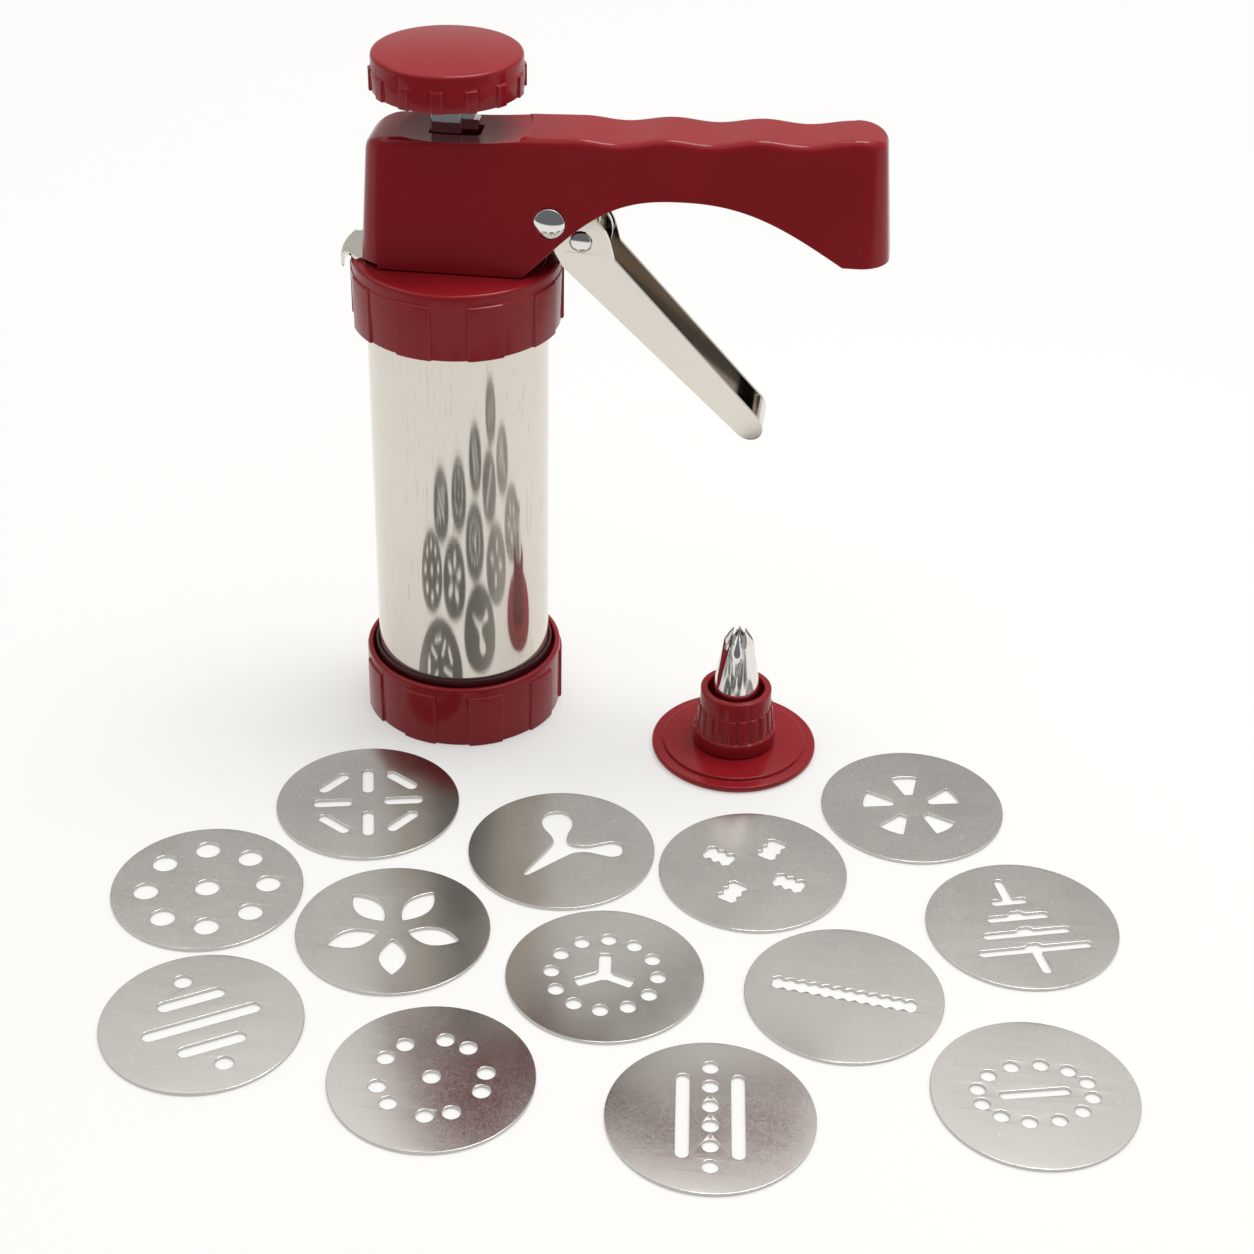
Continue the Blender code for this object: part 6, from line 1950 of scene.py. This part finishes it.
@dataclass
class Studio:
    """The camera, the floor and the light."""

    lens: float = 70.29
    sensor: float = 36.0
    place: tuple[float, float, float] = (0.12325, -0.63201, 0.44147)
    turn: float = 6.5
    pitch: float = 32.94
    roll: float = -1.34
    floor_reach: float = 6.0
    floor_low: Tone = (0.72, 0.715, 0.70, 1.0)
    floor_high: Tone = (0.75, 0.745, 0.73, 1.0)
    floor_glow: Tone = (0.985, 0.98, 0.965, 1.0)
    glow_share: float = 0.42
    far_share: float = 0.85
    middle: Flat = (0.06, -0.06)
    share_reach: Flat = (0.15, 0.40)
    edge_blur: float = 0.02
    front_edge: float = -0.40
    dusk: Tone = (0.150, 0.160, 0.172, 1.0)
    fill: Tone = (0.24, 0.24, 0.235, 1.0)
    wall_low: Tone = (0.56, 0.555, 0.54, 1.0)
    wall_high: Tone = (1.62, 1.61, 1.57, 1.0)
    ceiling: Tone = (1.0, 0.99, 0.97, 1.0)
    wall_rise: Flat = (0.63, 0.72)
    ceiling_rise: Flat = (0.80, 0.95)
    dusk_turn: Flat = (-0.72, -0.40)
    lamp_size: Flat = (0.75, 0.45)
    lamp_power: float = 11.6
    lamp_place: Shade = (0.25, 0.30, 1.40)
    lamp_tilt: float = -8.0

    def camera(self) -> None:
        """Puts the camera where the photograph was taken from."""
        turn, pitch, roll = (math.radians(v) for v in (self.turn, self.pitch, self.roll))
        level = Vector((-math.sin(turn), math.cos(turn), 0))
        right = Vector((level.y, -level.x, 0))
        forward = level * math.cos(pitch) - Vector((0, 0, math.sin(pitch)))
        down = -level * math.sin(pitch) - Vector((0, 0, math.cos(pitch)))
        across = right * math.cos(roll) + down * math.sin(roll)
        below = down * math.cos(roll) - right * math.sin(roll)
        data = bpy.data.cameras.new("camera")
        data.lens, data.sensor_width = self.lens, self.sensor
        data.clip_start, data.clip_end = 0.05, 50
        made = bpy.data.objects.new("camera", data)
        bpy.context.scene.collection.objects.link(made)
        turned = Matrix((across, -below, -forward)).transposed().to_4x4()
        made.matrix_world = Matrix.Translation(AXIS + Vector(self.place)) @ turned
        bpy.context.scene.camera = made

    def floor(self) -> None:
        """Lays the pale floor, whose front edge shows dark in what is mirrored beyond it."""
        mesh = bpy.data.meshes.new("floor")
        reach = self.floor_reach
        corners = [(-reach, -reach, 0), (reach, -reach, 0), (reach, reach, 0), (-reach, reach, 0)]
        mesh.from_pydata(corners, [], [(0, 1, 2, 3)])
        made = bpy.data.objects.new("floor", mesh)
        bpy.context.scene.collection.objects.link(made)
        material = bpy.data.materials.new("floor")
        material.use_nodes = True
        graph = Graph(material.node_tree)
        shader = material.node_tree.nodes["Principled BSDF"]
        place = graph.add("ShaderNodeTexCoord").outputs["Object"]
        cloud = graph.add("ShaderNodeTexNoise", Vector=place, Scale=3.0).outputs[0]
        graph.feed(shader.inputs["Base Color"], graph.mixed(cloud, self.floor_low, self.floor_high))
        shader.inputs["Roughness"].default_value = 0.6
        shader.inputs["Specular IOR Level"].default_value = 0.1
        paths = graph.add("ShaderNodeLightPath").outputs
        lit = graph.add("ShaderNodeEmission", Color=self.floor_glow)
        seen = graph.maths("MAXIMUM", paths["Is Camera Ray"], paths["Is Glossy Ray"])
        seen = graph.maths("MAXIMUM", seen, paths["Is Transmission Ray"])
        even = graph.add("ShaderNodeMixShader")
        offset = graph.add("ShaderNodeVectorMath", {"operation": "DISTANCE"})
        graph.feed(offset.inputs[0], place)
        graph.feed(offset.inputs[1], (AXIS.x + self.middle[0], AXIS.y + self.middle[1], 0.0))
        share = graph.spread(offset.outputs["Value"], *self.share_reach, self.glow_share, self.far_share)
        graph.feed(even.inputs[0], graph.maths("MULTIPLY", seen, share))
        graph.feed(even.inputs[1], shader.outputs[0])
        graph.feed(even.inputs[2], lit.outputs[0])
        along = graph.add("ShaderNodeSeparateXYZ", Vector=place).outputs["Y"]
        front = self.front_edge + AXIS.y
        beyond = graph.spread(along, front + self.edge_blur, front - self.edge_blur, 0.0, 1.0)
        dark = graph.add("ShaderNodeEmission", Color=self.dusk)
        whole = graph.add("ShaderNodeMixShader")
        graph.feed(whole.inputs[0], graph.maths("MULTIPLY", beyond, paths["Is Glossy Ray"]))
        graph.feed(whole.inputs[1], even.outputs[0])
        graph.feed(whole.inputs[2], dark.outputs[0])
        sheet = next(node for node in material.node_tree.nodes if node.type == "OUTPUT_MATERIAL")
        graph.feed(sheet.inputs["Surface"], whole.outputs[0])
        mesh.materials.append(material)

    def light(self) -> None:
        """Sets the soft overhead lamp and the room's light."""
        lamp = bpy.data.lights.new("overhead", "AREA")
        lamp.shape = "RECTANGLE"
        lamp.size, lamp.size_y = self.lamp_size
        lamp.energy = self.lamp_power
        made = bpy.data.objects.new("overhead", lamp)
        bpy.context.scene.collection.objects.link(made)
        tilt = Matrix.Rotation(math.radians(self.lamp_tilt), 4, "X")
        made.matrix_world = Matrix.Translation(self.lamp_place) @ tilt
        world = bpy.data.worlds.new("room")
        bpy.context.scene.world = world
        world.use_nodes = True
        graph = Graph(world.node_tree)
        back = world.node_tree.nodes["Background"]
        way = graph.add("ShaderNodeTexCoord").outputs["Generated"]
        parts = graph.add("ShaderNodeSeparateXYZ", Vector=way).outputs
        lifted = graph.spread(parts["Z"], *self.wall_rise, 0.0, 1.0)
        wall = graph.mixed(lifted, self.wall_low, self.wall_high)
        rear = graph.spread(parts["Y"], *self.dusk_turn, 0.0, 1.0)
        bounced = graph.add("ShaderNodeLightPath").outputs["Is Diffuse Ray"]
        front = graph.mixed(bounced, self.dusk, self.fill)
        around_room = graph.mixed(rear, front, wall)
        high = graph.spread(parts["Z"], *self.ceiling_rise, 0.0, 1.0)
        graph.feed(back.inputs["Color"], graph.mixed(high, around_room, self.ceiling))
        back.inputs["Strength"].default_value = 1.0

    def build(self) -> None:
        """Makes the stage."""
        self.camera()
        self.floor()
        self.light()
        bpy.context.scene.view_settings.view_transform = "Standard"


def main() -> None:
    """Builds the looks over the frame."""
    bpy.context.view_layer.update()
    finishes = Finishes().build()
    for kind in (Rings, Body, Handle, Plunger, Lever, Release, Nozzle, Discs, Springs, Carried):
        kind(finishes).build()
    Studio().build()


if __name__ == "__main__":
    main()
